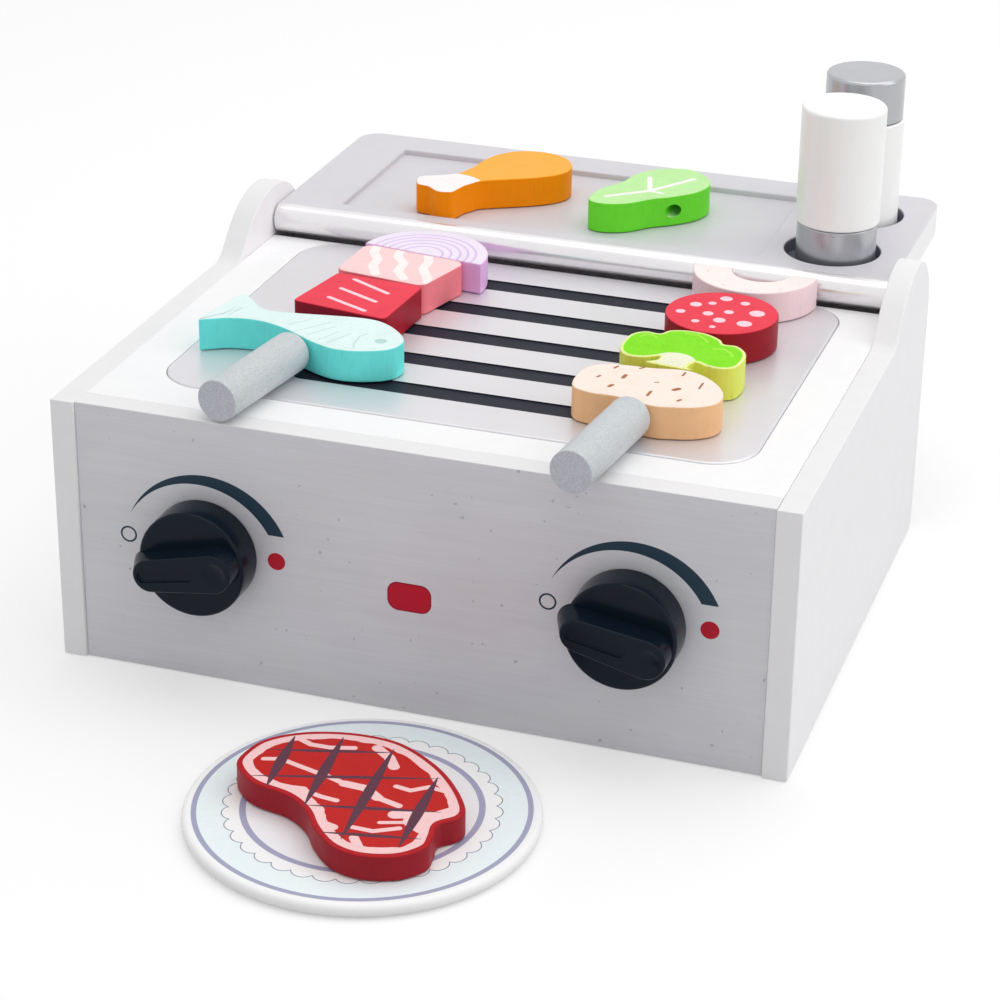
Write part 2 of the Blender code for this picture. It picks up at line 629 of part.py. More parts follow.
def build_shelf(sides):
    """Board with a half-round front edge, a shallow tray, two round pockets and its hinge pins."""
    half = SHELF_THICKNESS / 2
    quarter = math.pi / 2
    nose = arc(0, 0, half, 3 * quarter, quarter, 12)
    profile = nose + [(SHELF_LENGTH - half, half), (SHELF_LENGTH - half, -half)]
    mesh = prism_mesh("shelf_board", profile, -SHELF_WIDTH / 2, SHELF_WIDTH / 2, "X")
    shelf = place(add_object("shelf_board", mesh, material("shelf_paint", (0.72, 0.70, 0.73), 0.45)),
                  MIDDLE_X, HINGE_Y, HINGE_Z)
    back = SHELF_LENGTH - half
    low_x, high_x = -SHELF_WIDTH / 2 - CUT_OVERRUN, SHELF_WIDTH / 2 + CUT_OVERRUN
    corners = rounded(rectangle(-SHELF_WIDTH / 2, -SHELF_LENGTH, SHELF_WIDTH / 2, back), SHELF_CORNER_RADIUS)
    ring = len(corners) // 2
    plan = [(low_x, -SHELF_THICKNESS), (high_x, -SHELF_THICKNESS), (high_x, 0),
            (SHELF_WIDTH / 2, SHELF_THICKNESS)] + corners[ring:]
    plan += [(-SHELF_WIDTH / 2, SHELF_THICKNESS), (low_x, 0)]
    guide = prism_mesh("shelf_plan", plan, -SHELF_THICKNESS, SHELF_THICKNESS)
    add_cut(shelf, add_object("shelf_plan", guide, parent=shelf), "INTERSECT")
    tray_low = -SHELF_WIDTH / 2 + TRAY_LEFT_RIM
    tray_front = TRAY_FRONT_RIM - half
    tray = rounded(rectangle(tray_low, tray_front, SHELF_WIDTH / 2 - TRAY_RIGHT_RIM, tray_front + TRAY_LENGTH),
                   TRAY_CORNER_RADIUS, 2)
    mesh = prism_mesh("tray_recess", tray, half - TRAY_RECESS, half + CUT_OVERRUN)
    add_cut(shelf, add_object("tray_recess", mesh, parent=shelf))
    for i, (x, y) in enumerate(pocket_places()):
        bore(shelf, f"shaker_pocket_{i}", (x, y, half + CUT_OVERRUN), (0, 0, -1),
             SHAKER_RADIUS + POCKET_CLEARANCE, POCKET_DEPTH + CUT_OVERRUN, ROUND_SIDES, parent=shelf)
    build_hinge_pins(shelf, sides)
    return shelf


def pocket_places():
    """Middles of the two pockets, from the middle of the hinge."""
    x = SHELF_WIDTH / 2 - POCKET_SIDE_SETBACK
    return [(x, SHELF_LENGTH * share - SHELF_THICKNESS / 2) for share in POCKET_DEPTH_SHARES]


def build_hinge_pins(shelf, sides):
    """Steel pins that sit in blind holes of the ears and carry the board in its own bores."""
    holes = bmesh.new()
    start = BODY_WIDTH / 2 - PANEL_THICKNESS + HINGE_PIN_EAR_DEPTH
    grown = HINGE_PIN_RADIUS + GAP
    steel = material("zinc_steel", (0.55, 0.55, 0.57), 0.35, 1.0)
    for side, sign in (("left", -1), ("right", 1)):
        bm = bmesh.new()
        add_cylinder(bm, (sign * start, 0, 0), (-sign, 0, 0), HINGE_PIN_RADIUS, HINGE_PIN_LENGTH, ROD_SIDES)
        add_cylinder(holes, (sign * (start + GAP), 0, 0), (-sign, 0, 0), grown, HINGE_PIN_LENGTH + 2 * GAP,
                     ROD_SIDES + 4)
        name = "hinge_pin_" + side
        place(add_object(name, mesh_from(bm, name), steel), MIDDLE_X, HINGE_Y, HINGE_Z)
    cutter = add_object("hinge_pin_holes", mesh_from(holes, "hinge_pin_holes"))
    place(cutter, MIDDLE_X, HINGE_Y, HINGE_Z)
    for target in [shelf] + sides:
        add_cut(target, cutter)


def shaker_body_mesh(name):
    """White turned body with a tenon at its upper end."""
    top = SHAKER_BODY_HEIGHT
    return turned_mesh(name, [
        (0, 0), (SHAKER_RADIUS - SHAKER_EDGE, 0), (SHAKER_RADIUS, SHAKER_EDGE),
        (SHAKER_RADIUS, top - SHAKER_EDGE), (SHAKER_RADIUS - SHAKER_EDGE, top), (TENON_RADIUS, top),
        (TENON_RADIUS, top + TENON_LENGTH), (0, top + TENON_LENGTH)], ROUND_SIDES)


def shaker_cap_mesh(name):
    """Silver cap with a socket for the tenon."""
    low = SHAKER_BODY_HEIGHT + GAP
    top = low + SHAKER_CAP_HEIGHT
    socket = low + TENON_LENGTH
    profile = [
        (0, socket), (TENON_RADIUS + GAP, socket), (TENON_RADIUS + GAP, low),
        (SHAKER_CAP_RADIUS, low), (SHAKER_CAP_RADIUS, top - SHAKER_EDGE),
        (SHAKER_CAP_RADIUS - SHAKER_EDGE, top), (0, top)]
    return turned_mesh(name, profile, ROUND_SIDES)


def build_shakers():
    """Front shaker upside down and rear shaker upright, each standing in its pocket."""
    white = wood_white()
    silver = material("silver_paint", (0.60, 0.60, 0.62), 0.35, 0.5)
    height = SHAKER_BODY_HEIGHT + GAP + SHAKER_CAP_HEIGHT
    floor = SHELF_TOP - POCKET_DEPTH + GAP
    shift = POCKET_CLEARANCE * FRONT_SHAKER_SHIFT_SHARE
    for name, (x, y), flipped in zip(("front", "rear"), pocket_places(), (True, False)):
        base = floor + height if flipped else floor
        across = MIDDLE_X + x + (shift if flipped else 0)
        for piece, maker, finish in (("body", shaker_body_mesh, white), ("cap", shaker_cap_mesh, silver)):
            full = f"shaker_{piece}_{name}"
            item = place(add_object(full, maker(full), finish), across, HINGE_Y + y, base)
            item.rotation_euler = (math.pi if flipped else 0, 0, 0)


def flat_food(name, outline, finish, parent, x, y, base=FOOD_BASE, turn=0.0, thickness=FOOD_THICKNESS):
    """Flat cut-out food that lies at a height, placed by its middle."""
    food = add_object(name, prism_mesh(name, outline, 0, thickness), finish, parent)
    if parent:
        food.location = (x, y, base)
    else:
        place(food, x, y, base)
    food.rotation_euler = (0, 0, turn)
    return food


def front_reach(outline, shift, middle, half_width):
    """How far forward an outline comes within a half width of the rod."""
    reach = []
    for i, (x, y) in enumerate(outline):
        next_x, next_y = outline[(i + 1) % len(outline)]
        for t in (0.0, 0.25, 0.5, 0.75):
            across = x + (next_x - x) * t + shift
            if abs(across) <= half_width:
                reach.append(y + (next_y - y) * t + middle)
    return min(reach)


def ring_outline():
    """Half ring, open to the back, whose arch leaves two legs."""
    outer = [(RING_WIDTH / 2 * math.cos(a), RING_LENGTH / 2 - RING_LENGTH * math.sin(a))
             for a in (math.pi * i / 16 for i in range(17))]
    inner = arc(RING_ARCH_SHIFT, RING_LENGTH / 2, RING_ARCH_RADIUS, -math.pi, 0, 10)
    return outer + inner


def left_foods():
    """Foods of the left skewer from front to back: name, outline, length, shift, space behind, turn, paint."""
    meat = [(u * MEAT_WIDTH, v * MEAT_LENGTH) for u, v in MEAT_SHARES]
    bacon = [(u * BACON_WIDTH, v * BACON_LENGTH) for u, v in BACON_SHARES]
    return [
        ("fish", curved(FISH_SHARES, FISH_WIDTH, FISH_LENGTH), FISH_LENGTH, FISH_SHIFT,
         FISH_SPACE_BEHIND, 0.0, paint("fish_paint", 0.45, 0.85, 0.82)),
        ("meat_block", rounded(meat, MEAT_CORNER_RADIUS), MEAT_LENGTH, MEAT_SHIFT, ROW_SPACE, 0.0,
         paint("meat_paint", 0.75, 0.05, 0.09)),
        ("bacon", rounded(bacon, BACON_CORNER_RADIUS), BACON_LENGTH, BACON_SHIFT, ROW_SPACE, 0.0,
         paint("bacon_paint", 0.92, 0.45, 0.47)),
        ("onion", half_disc(ONION_WIDTH, ONION_LENGTH, 18), ONION_LENGTH, ONION_SHIFT, 0.0, 0.0,
         paint("onion_paint", 0.82, 0.70, 0.90)),
    ]


def right_foods():
    """Foods of the right skewer from front to back, listed like the left ones."""
    salami = arc(0, 0, SALAMI_DIAMETER / 2, 0, 2 * math.pi, ROUND_SIDES)[:-1]
    return [
        ("bread", curved(BREAD_SHARES, BREAD_WIDTH, BREAD_LENGTH), BREAD_LENGTH, BREAD_SHIFT, ROW_SPACE, 0.0,
         paint("bread_paint", 0.90, 0.62, 0.40)),
        ("broccoli", curved(BROCCOLI_SHARES, BROCCOLI_WIDTH, BROCCOLI_LENGTH), BROCCOLI_LENGTH,
         BROCCOLI_SHIFT, ROW_SPACE, 0.0, paint("broccoli_paint", 0.30, 0.72, 0.02)),
        ("salami", salami, SALAMI_DIAMETER, SALAMI_SHIFT, SALAMI_SPACE_BEHIND, 0.0,
         paint("salami_paint", 0.72, 0.04, 0.07)),
        ("squid_ring", ring_outline(), RING_LENGTH, RING_SHIFT, 0.0, RING_TURN,
         paint("squid_paint", 0.95, 0.78, 0.78)),
    ]


def build_skewer(side, foods, x, back_clearance, turn, last_solid):
    """One skewer: its foods in line, the rod through them, and the handle against the first food."""
    row = add_empty("skewer_row_" + side, x, SHELF_NOSE - back_clearance, 0.0, turn)
    total = sum(length + space for _, _, length, _, space, _, _ in foods)
    front = -total
    tip = -foods[-1][2] + last_solid - ROD_TIP_COVER
    first = foods[0]
    handle_end = front_reach(first[1], first[3], front + first[2] / 2, HANDLE_RADIUS) - GAP
    rod_start = handle_end - ROD_IN_HANDLE
    hole_z = FOOD_BASE + FOOD_THICKNESS * FOOD_HOLE_HEIGHT_SHARE
    for name, outline, length, shift, space, own_turn, finish in foods:
        food = flat_food(name, outline, finish, row, shift, front + length / 2, turn=own_turn)
        end = min(front + length + CUT_OVERRUN, tip + GAP)
        bore(food, name + "_hole", (0, front - CUT_OVERRUN, hole_z), (0, 1, 0), FOOD_HOLE_RADIUS,
             end - front + CUT_OVERRUN, ROD_SIDES, parent=row)
        front += length + space
    handle_profile = [(0, 0), (HANDLE_RADIUS - HANDLE_FACE_EDGE, 0), (HANDLE_RADIUS, HANDLE_FACE_EDGE)]
    for i in range(CORNER_STEPS + 1):
        angle = math.pi / 2 * i / CORNER_STEPS
        handle_profile.append((HANDLE_RADIUS - HANDLE_ROUND * (1 - math.cos(angle)),
                               HANDLE_LENGTH - HANDLE_ROUND * (1 - math.sin(angle))))
    handle = add_object("skewer_handle_" + side, turned_mesh("skewer_handle_" + side, handle_profile
                        + [(0, HANDLE_LENGTH)], ROUND_SIDES - 4),
                        material("silver_paint", (0.60, 0.60, 0.62), 0.35, 0.5), row)
    handle.location = (0, handle_end - HANDLE_LENGTH, HANDLE_Z)
    handle.rotation_euler = (-math.pi / 2, 0, 0)
    bore(handle, "rod_socket_" + side, (0, rod_start - GAP, HANDLE_Z), (0, 1, 0), ROD_RADIUS + GAP,
         ROD_IN_HANDLE + CUT_OVERRUN, DOWEL_SIDES, parent=row)
    rod_mesh = turned_mesh("skewer_rod_" + side, [
        (0, 0), (ROD_RADIUS, 0), (ROD_RADIUS, tip - rod_start - ROD_RADIUS), (ROD_RADIUS / 2, tip - rod_start),
        (0, tip - rod_start)], DOWEL_SIDES)
    rod = add_object("skewer_rod_" + side, rod_mesh, material("zinc_steel", (0.55, 0.55, 0.57), 0.35, 1.0), row)
    rod.location = (0, rod_start, HANDLE_Z)
    rod.rotation_euler = (-math.pi / 2, 0, 0)


def build_tray_foods():
    """Chicken leg and pepper on the floor of the shelf's tray."""
    base = SHELF_TOP - TRAY_RECESS + GAP
    tray_left = MIDDLE_X - SHELF_WIDTH / 2 + TRAY_LEFT_RIM
    tray_width = SHELF_WIDTH - TRAY_LEFT_RIM - TRAY_RIGHT_RIM
    tray_front = SHELF_NOSE + TRAY_FRONT_RIM
    flat_food("chicken_leg", curved(CHICKEN_SHARES, CHICKEN_WIDTH, CHICKEN_LENGTH),
              paint("chicken_paint", 0.95, 0.30, 0.01), None, tray_left + tray_width * CHICKEN_TRAY_SHARE,
              tray_front + TRAY_FRONT_SPACE + CHICKEN_LENGTH / 2, base)
    x = tray_left + tray_width * PEPPER_TRAY_SHARES[0]
    y = tray_front + TRAY_LENGTH * PEPPER_TRAY_SHARES[1]
    pepper = flat_food("pepper", curved(PEPPER_SHARES, PEPPER_WIDTH, PEPPER_LENGTH),
                       paint("pepper_paint", 0.20, 0.62, 0.05), None, x, y, base)
    bore(pepper, "pepper_hole", (PEPPER_WIDTH * PEPPER_HOLE_SHARE, -PEPPER_LENGTH / 2, FOOD_THICKNESS / 2),
         (0, 1, 0), FOOD_HOLE_RADIUS, PEPPER_HOLE_DEPTH, ROD_SIDES, parent=pepper)


def build_dish():
    """Round plate on the floor, with the steak on it."""
    x = BODY_WIDTH * DISH_WIDTH_SHARE
    profile = [(0, 0), (DISH_RADIUS - DISH_EDGE, 0), (DISH_RADIUS, DISH_EDGE),
               (DISH_RADIUS, DISH_THICKNESS - DISH_EDGE), (DISH_RADIUS - DISH_EDGE, DISH_THICKNESS),
               (0, DISH_THICKNESS)]
    white = material("dish_paint", (0.80, 0.86, 0.88), 0.3)
    place(add_object("plate", turned_mesh("plate", profile, WIDE_SIDES), white), x, DISH_Y, 0)
    shift_x, shift_y = (share * DISH_RADIUS for share in STEAK_SHIFT_SHARES)
    flat_food("steak", curved(STEAK_SHARES, STEAK_WIDTH, STEAK_LENGTH), paint("steak_paint", 0.48, 0.03, 0.05),
              None, x + shift_x, DISH_Y + shift_y, DISH_THICKNESS + GAP, thickness=STEAK_THICKNESS)


def main():
    """Build the whole toy grill."""
    clear_scene()
    sides, panels = build_box()
    build_grill_plate(panels["top_panel"])
    spacing = BODY_WIDTH * KNOB_SPACING_SHARE / 2
    build_knob_set("left", MIDDLE_X - spacing, KNOB_LEFT_ANGLE, panels["front_panel"])
    build_knob_set("right", MIDDLE_X + spacing, KNOB_RIGHT_ANGLE, panels["front_panel"])
    build_shelf(sides)
    build_shakers()
    build_skewer("left", left_foods(), BODY_WIDTH * LEFT_ROW_WIDTH_SHARE, LEFT_ROW_BACK_CLEARANCE,
                 LEFT_ROW_ANGLE, ONION_LENGTH)
    build_skewer("right", right_foods(), BODY_WIDTH * RIGHT_ROW_WIDTH_SHARE, RIGHT_ROW_BACK_CLEARANCE,
                 RIGHT_ROW_ANGLE, RING_LENGTH - RING_ARCH_RADIUS)
    build_tray_foods()
    build_dish()


main()
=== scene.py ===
"""Dresses a wooden toy barbecue grill: painted wood, brushed foil, printed foods, knobs and shakers."""

from __future__ import annotations

import logging
import math
from dataclasses import dataclass
from enum import Enum
from functools import wraps
from typing import Callable, Sequence

import bmesh
import bpy
from mathutils import Matrix, Vector
from mathutils.geometry import delaunay_2d_cdt

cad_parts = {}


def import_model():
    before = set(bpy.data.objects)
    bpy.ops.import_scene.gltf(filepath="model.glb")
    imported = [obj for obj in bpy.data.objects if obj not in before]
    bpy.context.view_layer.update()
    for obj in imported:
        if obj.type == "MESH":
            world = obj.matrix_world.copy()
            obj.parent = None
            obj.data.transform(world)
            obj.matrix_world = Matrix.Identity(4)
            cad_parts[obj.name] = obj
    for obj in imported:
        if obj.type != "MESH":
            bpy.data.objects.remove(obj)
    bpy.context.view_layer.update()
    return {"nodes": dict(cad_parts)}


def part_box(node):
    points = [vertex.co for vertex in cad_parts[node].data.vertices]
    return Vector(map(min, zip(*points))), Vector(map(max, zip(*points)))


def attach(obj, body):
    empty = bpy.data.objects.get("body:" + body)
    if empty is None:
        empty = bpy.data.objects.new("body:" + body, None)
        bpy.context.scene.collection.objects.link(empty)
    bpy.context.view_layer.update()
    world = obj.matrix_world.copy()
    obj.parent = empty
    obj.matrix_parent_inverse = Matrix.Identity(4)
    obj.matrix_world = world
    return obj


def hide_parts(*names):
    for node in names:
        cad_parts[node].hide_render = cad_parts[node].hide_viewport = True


LOG = logging.getLogger("toy_grill")

Colour = tuple[float, float, float]
Point = tuple[float, float]
Outline = list[Point]
Socket = bpy.types.NodeSocket

# One millimetre, the clearance between pieces that touch, and the soft edge of printed marks
MM = 0.001
GAP = 0.0003
SOFT = 0.00008

# A right angle, and the angle beyond which an edge is shaded as sharp
QUARTER = math.pi / 2
SHARP = math.radians(32)

# How far cutters reach beyond the face that they cut
BEYOND = 0.002

# Length under which points coincide
TINY = 1e-6

# Least share of its way that an inset corner may take, so that sharp corners don't shoot off
BLUNT = 0.45

# Share of a net's spacing that stays free along its border
NET_MARGIN = 0.6

# Share of a slot's half width that its round ends take
ROUND_END = 0.98

# Middle of the whole set, measured from the box's left lower front corner
MIDDLE_X = 0.135
MIDDLE_Y = 0.07665

# Height of the knobs' axes, which the front panel's holes share
KNOB_HEIGHT = 0.050652

# End of the names of the finishes made here
FINISH = " finish"

# Attribute in which a mesh carries each point's distance from the piece's outline
EDGE = "edge_distance"

# Outputs of the shader node groups, and the origin of their places
MASK = ("Mask",)
TEXTURE = ("Colour", "Height", "Rough")
ORIGIN = (0.0, 0.0, 0.0)


def seen(red: float, green: float, blue: float) -> Colour:
    """Linear colour of a surface that shows these 0 to 255 values under full light."""
    def linear(value: float) -> float:
        """Linear share of one value."""
        share = value / 255
        return share / 12.92 if share <= 0.04045 else ((share + 0.055) / 1.055) ** 2.4
    return linear(red), linear(green), linear(blue)


class Facing(Enum):
    """Direction in which a slab's thickness runs."""

    UP = "up"
    ACROSS = "across"
    FORWARD = "forward"


class Graph:
    """Adds nodes to one node tree and joins them."""

    def __init__(self, tree: bpy.types.NodeTree) -> None:
        """Keep the tree that the nodes go into."""
        self.tree = tree

    def node(self, kind: str, inputs: dict | None = None, **settings) -> bpy.types.Node:
        """Add a node.

        Args:
            kind: the node's type name without its start, ShaderNode.
            inputs: values or sockets by the name or number of the input.
            settings: properties of the node.

        Returns:
            The new node.
        """
        made = self.tree.nodes.new("ShaderNode" + kind)
        for name, value in settings.items():
            setattr(made, name, value)
        for name, value in (inputs or {}).items():
            self.feed(made.inputs[name], value)
        return made

    def feed(self, socket: Socket, value: object) -> None:
        """Link a socket to another, or set its value."""
        if isinstance(value, Socket):
            self.tree.links.new(value, socket)
        elif socket.type == "RGBA" and len(value) == 3:
            socket.default_value = (*value, 1.0)
        else:
            socket.default_value = value

    def math(self, operation: str, *values: object, clamp: bool = False) -> Socket:
        """Result of a Math node."""
        return self.node("Math", dict(enumerate(values)), operation=operation, use_clamp=clamp).outputs[0]

    def vector(self, operation: str, *values: object) -> Socket:
        """Vector result of a Vector Math node."""
        return self.node("VectorMath", dict(enumerate(values)), operation=operation).outputs["Vector"]

    def measure(self, operation: str, *values: object) -> Socket:
        """Number result of a Vector Math node."""
        return self.node("VectorMath", dict(enumerate(values)), operation=operation).outputs["Value"]

    def scale(self, value: object, share: object) -> Socket:
        """Vector or colour times a number."""
        return self.node("VectorMath", {0: value, "Scale": share}, operation="SCALE").outputs[0]

    def split(self, value: Socket) -> bpy.types.NodeOutputs:
        """Vector split into X, Y and Z."""
        return self.node("SeparateXYZ", {0: value}).outputs

    def join(self, x: Socket, y: Socket) -> Socket:
        """Vector of an X and a Y."""
        return self.node("CombineXYZ", {0: x, 1: y}).outputs[0]

    def mix(self, share: object, low: object, high: object) -> Socket:
        """Mix of two colours."""
        return self.node("Mix", {0: share, 6: low, 7: high}, data_type="RGBA").outputs[2]

    def ramp(self, value: object, low: float, high: float, start: float = 0.0, end: float = 1.0) -> Socket:
        """Map a value smoothly, from low to high, to the range from start to end."""
        inputs = {"Value": value, "From Min": low, "From Max": high, "To Min": start, "To Max": end}
        return self.node("MapRange", inputs, interpolation_type="SMOOTHSTEP").outputs[0]

    def noise(self, place: object, scale: float, detail: float = 2.0, roughness: float = 0.5,
              stretch: Sequence[float] | None = None) -> Socket:
        """Noise between 0 and 1 at a place, stretched by a factor along each axis."""
        if stretch:
            place = self.vector("MULTIPLY", place, stretch)
        inputs = {"Vector": place, "Scale": scale, "Detail": detail, "Roughness": roughness}
        return self.node("TexNoise", inputs).outputs["Fac"]

    def cover(self, depth: Socket, softness: object) -> Socket:
        """Mask that rises from 0 to 1 where a depth passes zero."""
        return self.math("ADD", self.math("DIVIDE", depth, softness), 0.5, clamp=True)

    def relief(self, height: Socket, strength: float, distance: float) -> Socket:
        """Normal of a fine relief."""
        return self.node("Bump", {"Height": height, "Strength": strength, "Distance": distance}).outputs[0]


def effect(name: str, outputs: Sequence[str], **inputs: object) -> Callable:
    """Turn a function that adds nodes into a shader node group, made on first use.

    Args:
        name: the group's name.
        outputs: names of the outputs; Colour carries a colour, the others a number.
        inputs: default value by input name: a number, a vector or a colour.

    Returns:
        The decorator. Its function places the group in a graph and gives the outputs.
    """
    def decorate(fill: Callable) -> Callable:
        """Wrap the function that adds the group's nodes."""
        def make() -> bpy.types.NodeTree:
            """Make the group."""
            tree = bpy.data.node_groups.new(name, "ShaderNodeTree")
            for key, value in inputs.items():
                kind = {1: "Float", 3: "Vector", 4: "Color"}[len(value) if isinstance(value, tuple) else 1]
                made = tree.interface.new_socket(key, in_out="INPUT", socket_type="NodeSocket" + kind)
                made.default_value = value
            for key in outputs:
                kind = "NodeSocketColor" if key == "Colour" else "NodeSocketFloat"
                tree.interface.new_socket(key, in_out="OUTPUT", socket_type=kind)
            graph = Graph(tree)
            given, result = tree.nodes.new("NodeGroupInput"), tree.nodes.new("NodeGroupOutput")
            for key, value in zip(outputs, fill(graph, *[given.outputs[key] for key in inputs])):
                graph.feed(result.inputs[key], value)
            return tree

        @wraps(fill)
        def place(graph: Graph, *values: object) -> bpy.types.NodeOutputs:
            """Place the group with its own values."""
            tree = bpy.data.node_groups.get(name) or make()
            return graph.node("Group", dict(enumerate(values)), node_tree=tree).outputs
        return place
    return decorate


@effect("straight stroke", MASK, Place=ORIGIN, Start=ORIGIN, End=(0.01, 0.0, 0.0), Half=0.001, Taper=0.0,
        Softness=0.0001)
def stroke_mask(graph: Graph, place: Socket, start: Socket, end: Socket, half: Socket, taper: Socket,
                softness: Socket) -> tuple:
    """Group that masks a straight stroke with round ends, which can taper towards both."""
    along = graph.vector("SUBTRACT", end, start)
    out = graph.vector("SUBTRACT", place, start)
    ratio = graph.math("DIVIDE", graph.measure("DOT_PRODUCT", out, along),
                       graph.measure("DOT_PRODUCT", along, along), clamp=True)
    reach = graph.measure("DISTANCE", out, graph.scale(along, ratio))
    middle = graph.math("ABSOLUTE", graph.math("MULTIPLY_ADD", ratio, 2.0, -1.0))
    thin = graph.math("MULTIPLY", graph.math("POWER", middle, 1.6), taper)
    width = graph.math("MULTIPLY", half, graph.math("SUBTRACT", 1.0, thin))
    return (graph.cover(graph.math("SUBTRACT", width, reach), softness),)


@effect("thin ring", MASK, Place=ORIGIN, Centre=ORIGIN, Radius=0.003, Half=0.0002, Softness=0.0001)
def ring_mask(graph: Graph, place: Socket, centre: Socket, radius: Socket, half: Socket,
              softness: Socket) -> tuple:
    """Group that masks a ring, or a round spot where its radius is zero."""
    reach = graph.measure("DISTANCE", place, centre)
    off = graph.math("ABSOLUTE", graph.math("SUBTRACT", reach, radius))
    return (graph.cover(graph.math("SUBTRACT", half, off), softness),)


@effect("painted wood", TEXTURE, Colour=(0.8, 0.8, 0.8, 1.0), Place=ORIGIN, Mottle=0.1, Fibre=0.1, Grit=0.0)
def painted_wood(graph: Graph, colour: Socket, place: Socket, mottle: Socket, fibre: Socket,
                 grit: Socket) -> tuple:
    """Group for brushed or rolled paint on wood: mottled colour and a fine relief."""
    cloud = graph.noise(place, 120.0, 3.0, 0.6)
    grain = graph.noise(place, 900.0, 2.0, 0.7, (1.0, 1.0, 0.12))
    fine = graph.noise(place, 2200.0, 2.0, 0.6)
    dark = graph.math("MULTIPLY", graph.ramp(cloud, 0.35, 0.75), mottle)
    for source, low, high, share in ((grain, 0.52, 0.72, fibre), (fine, 0.35, 0.7, grit)):
        dark = graph.math("MULTIPLY_ADD", graph.ramp(source, low, high), share, dark)
    shade = graph.math("SUBTRACT", 1.0, dark, clamp=True)
    return (graph.scale(colour, shade), graph.math("MULTIPLY_ADD", grain, 0.6, fine),
            graph.math("MULTIPLY_ADD", cloud, 0.12, -0.06))


@effect("brushed foil", TEXTURE, Colour=(0.5, 0.5, 0.5, 1.0), Place=ORIGIN, Lines=0.1, Specks=0.3)
def brushed_foil(graph: Graph, colour: Socket, place: Socket, lines: Socket, specks: Socket) -> tuple:
    """Group for silver foil with fine brushed lines along X and small dark specks."""
    fine = graph.noise(place, 1500.0, 2.0, 0.6, (0.03, 1.0, 1.0))
    wide = graph.noise(place, 260.0, 2.0, 0.6, (0.08, 1.0, 1.0))
    both = graph.math("MULTIPLY_ADD", fine, 0.6, graph.math("MULTIPLY", wide, 0.4))
    line = graph.math("MULTIPLY", graph.math("SUBTRACT", both, 0.5), lines)
    cloud = graph.math("SUBTRACT", graph.noise(place, 26.0), 0.5)
    bright = graph.math("ADD", graph.math("MULTIPLY_ADD", cloud, 0.12, line), 1.0)
    speck = graph.ramp(graph.noise(place, 420.0, 1.0, 0.4), 0.76, 0.80)
    shade = graph.math("SUBTRACT", bright, graph.math("MULTIPLY", speck, specks))
    return graph.scale(colour, shade), both, graph.math("MULTIPLY", line, 0.5)


@dataclass(frozen=True)
class Stroke:
    """Printed straight stroke, in millimetres from the piece's own middle, as all marks are."""

    start: Point
    end: Point
    half_width: float
    colour: Colour
    taper: float = 0.0

    def mask(self, graph: Graph, place: Socket) -> Socket:
        """Mask of the stroke at a place."""
        start, end = ((x * MM, y * MM, 0.0) for x, y in (self.start, self.end))
        return stroke_mask(graph, place, start, end, self.half_width * MM, self.taper)[0]


@dataclass(frozen=True)
class Ring:
    """Printed thin ring."""

    x: float
    y: float
    radius: float
    half_width: float
    colour: Colour

    def mask(self, graph: Graph, place: Socket) -> Socket:
        """Mask of the ring at a place."""
        centre = (self.x * MM, self.y * MM, 0.0)
        return ring_mask(graph, place, centre, self.radius * MM, self.half_width * MM)[0]


@dataclass(frozen=True)
class Patch:
    """Printed rectangle with round corners."""

    low: Point
    high: Point
    radius: float
    colour: Colour

    def mask(self, graph: Graph, place: Socket) -> Socket:
        """Mask of the rectangle at a place."""
        radius = self.radius * MM
        centre = ((a + b) / 2 * MM for a, b in zip(self.low, self.high))
        half = ((b - a) / 2 * MM - radius for a, b in zip(self.low, self.high))
        out = graph.vector("ABSOLUTE", graph.vector("SUBTRACT", place, (*centre, 0.0)))
        out = graph.vector("MAXIMUM", graph.vector("SUBTRACT", out, (*half, 0.0)), ORIGIN)
        return graph.ramp(graph.measure("LENGTH", out), radius + SOFT, radius - SOFT)


@dataclass(frozen=True)
class Crescent:
    """Printed crescent between two circles, cut off below a line."""

    outer: tuple[float, float, float]
    inner: tuple[float, float, float]
    cut: float
    colour: Colour

    def mask(self, graph: Graph, place: Socket) -> Socket:
        """Mask of the crescent at a place."""
        within, beyond = (spot(*circle, self.colour).mask(graph, place)
                          for circle in (self.outer, self.inner))
        above = graph.ramp(graph.split(place)["Y"], self.cut * MM - SOFT, self.cut * MM + SOFT)
        shown = graph.math("MULTIPLY", within, above)
        return graph.math("MULTIPLY", shown, graph.math("SUBTRACT", 1.0, beyond))


@dataclass(frozen=True)
class Lace:
    """Printed scallop line round a plate's middle, or the field inside it."""

    count: int
    radius: float
    bulge: float
    half_width: float
    colour: Colour
    field: bool = False

    def mask(self, graph: Graph, place: Socket) -> Socket:
        """Mask of the line, or of the field inside it, at a place."""
        radius, bulge, width = self.radius * MM, self.bulge * MM, self.half_width * MM
        step = 2 * math.pi / self.count
        half = radius * step / 2
        ball = (half ** 2 + bulge ** 2) / (2 * bulge)
        parts = graph.split(place)
        angle = graph.math("ARCTAN2", parts["Y"], parts["X"])
        share = graph.math("FRACT", graph.math("DIVIDE", angle, step))
        across = graph.math("MULTIPLY", graph.math("SUBTRACT", share, 0.5), 2 * half)
        reach = graph.measure("LENGTH", place)
        along = graph.math("SUBTRACT", reach, radius + bulge - ball)
        out = graph.math("SUBTRACT", graph.measure("LENGTH", graph.join(across, along)), ball)
        if self.field:
            inside = graph.ramp(out, SOFT, -SOFT)
            return graph.math("MAXIMUM", inside, graph.ramp(reach, radius + SOFT, radius - SOFT))
        line = graph.ramp(graph.math("ABSOLUTE", out), width + SOFT, width - SOFT)
        return graph.math("MULTIPLY", line, graph.ramp(reach, radius - SOFT, radius + SOFT))


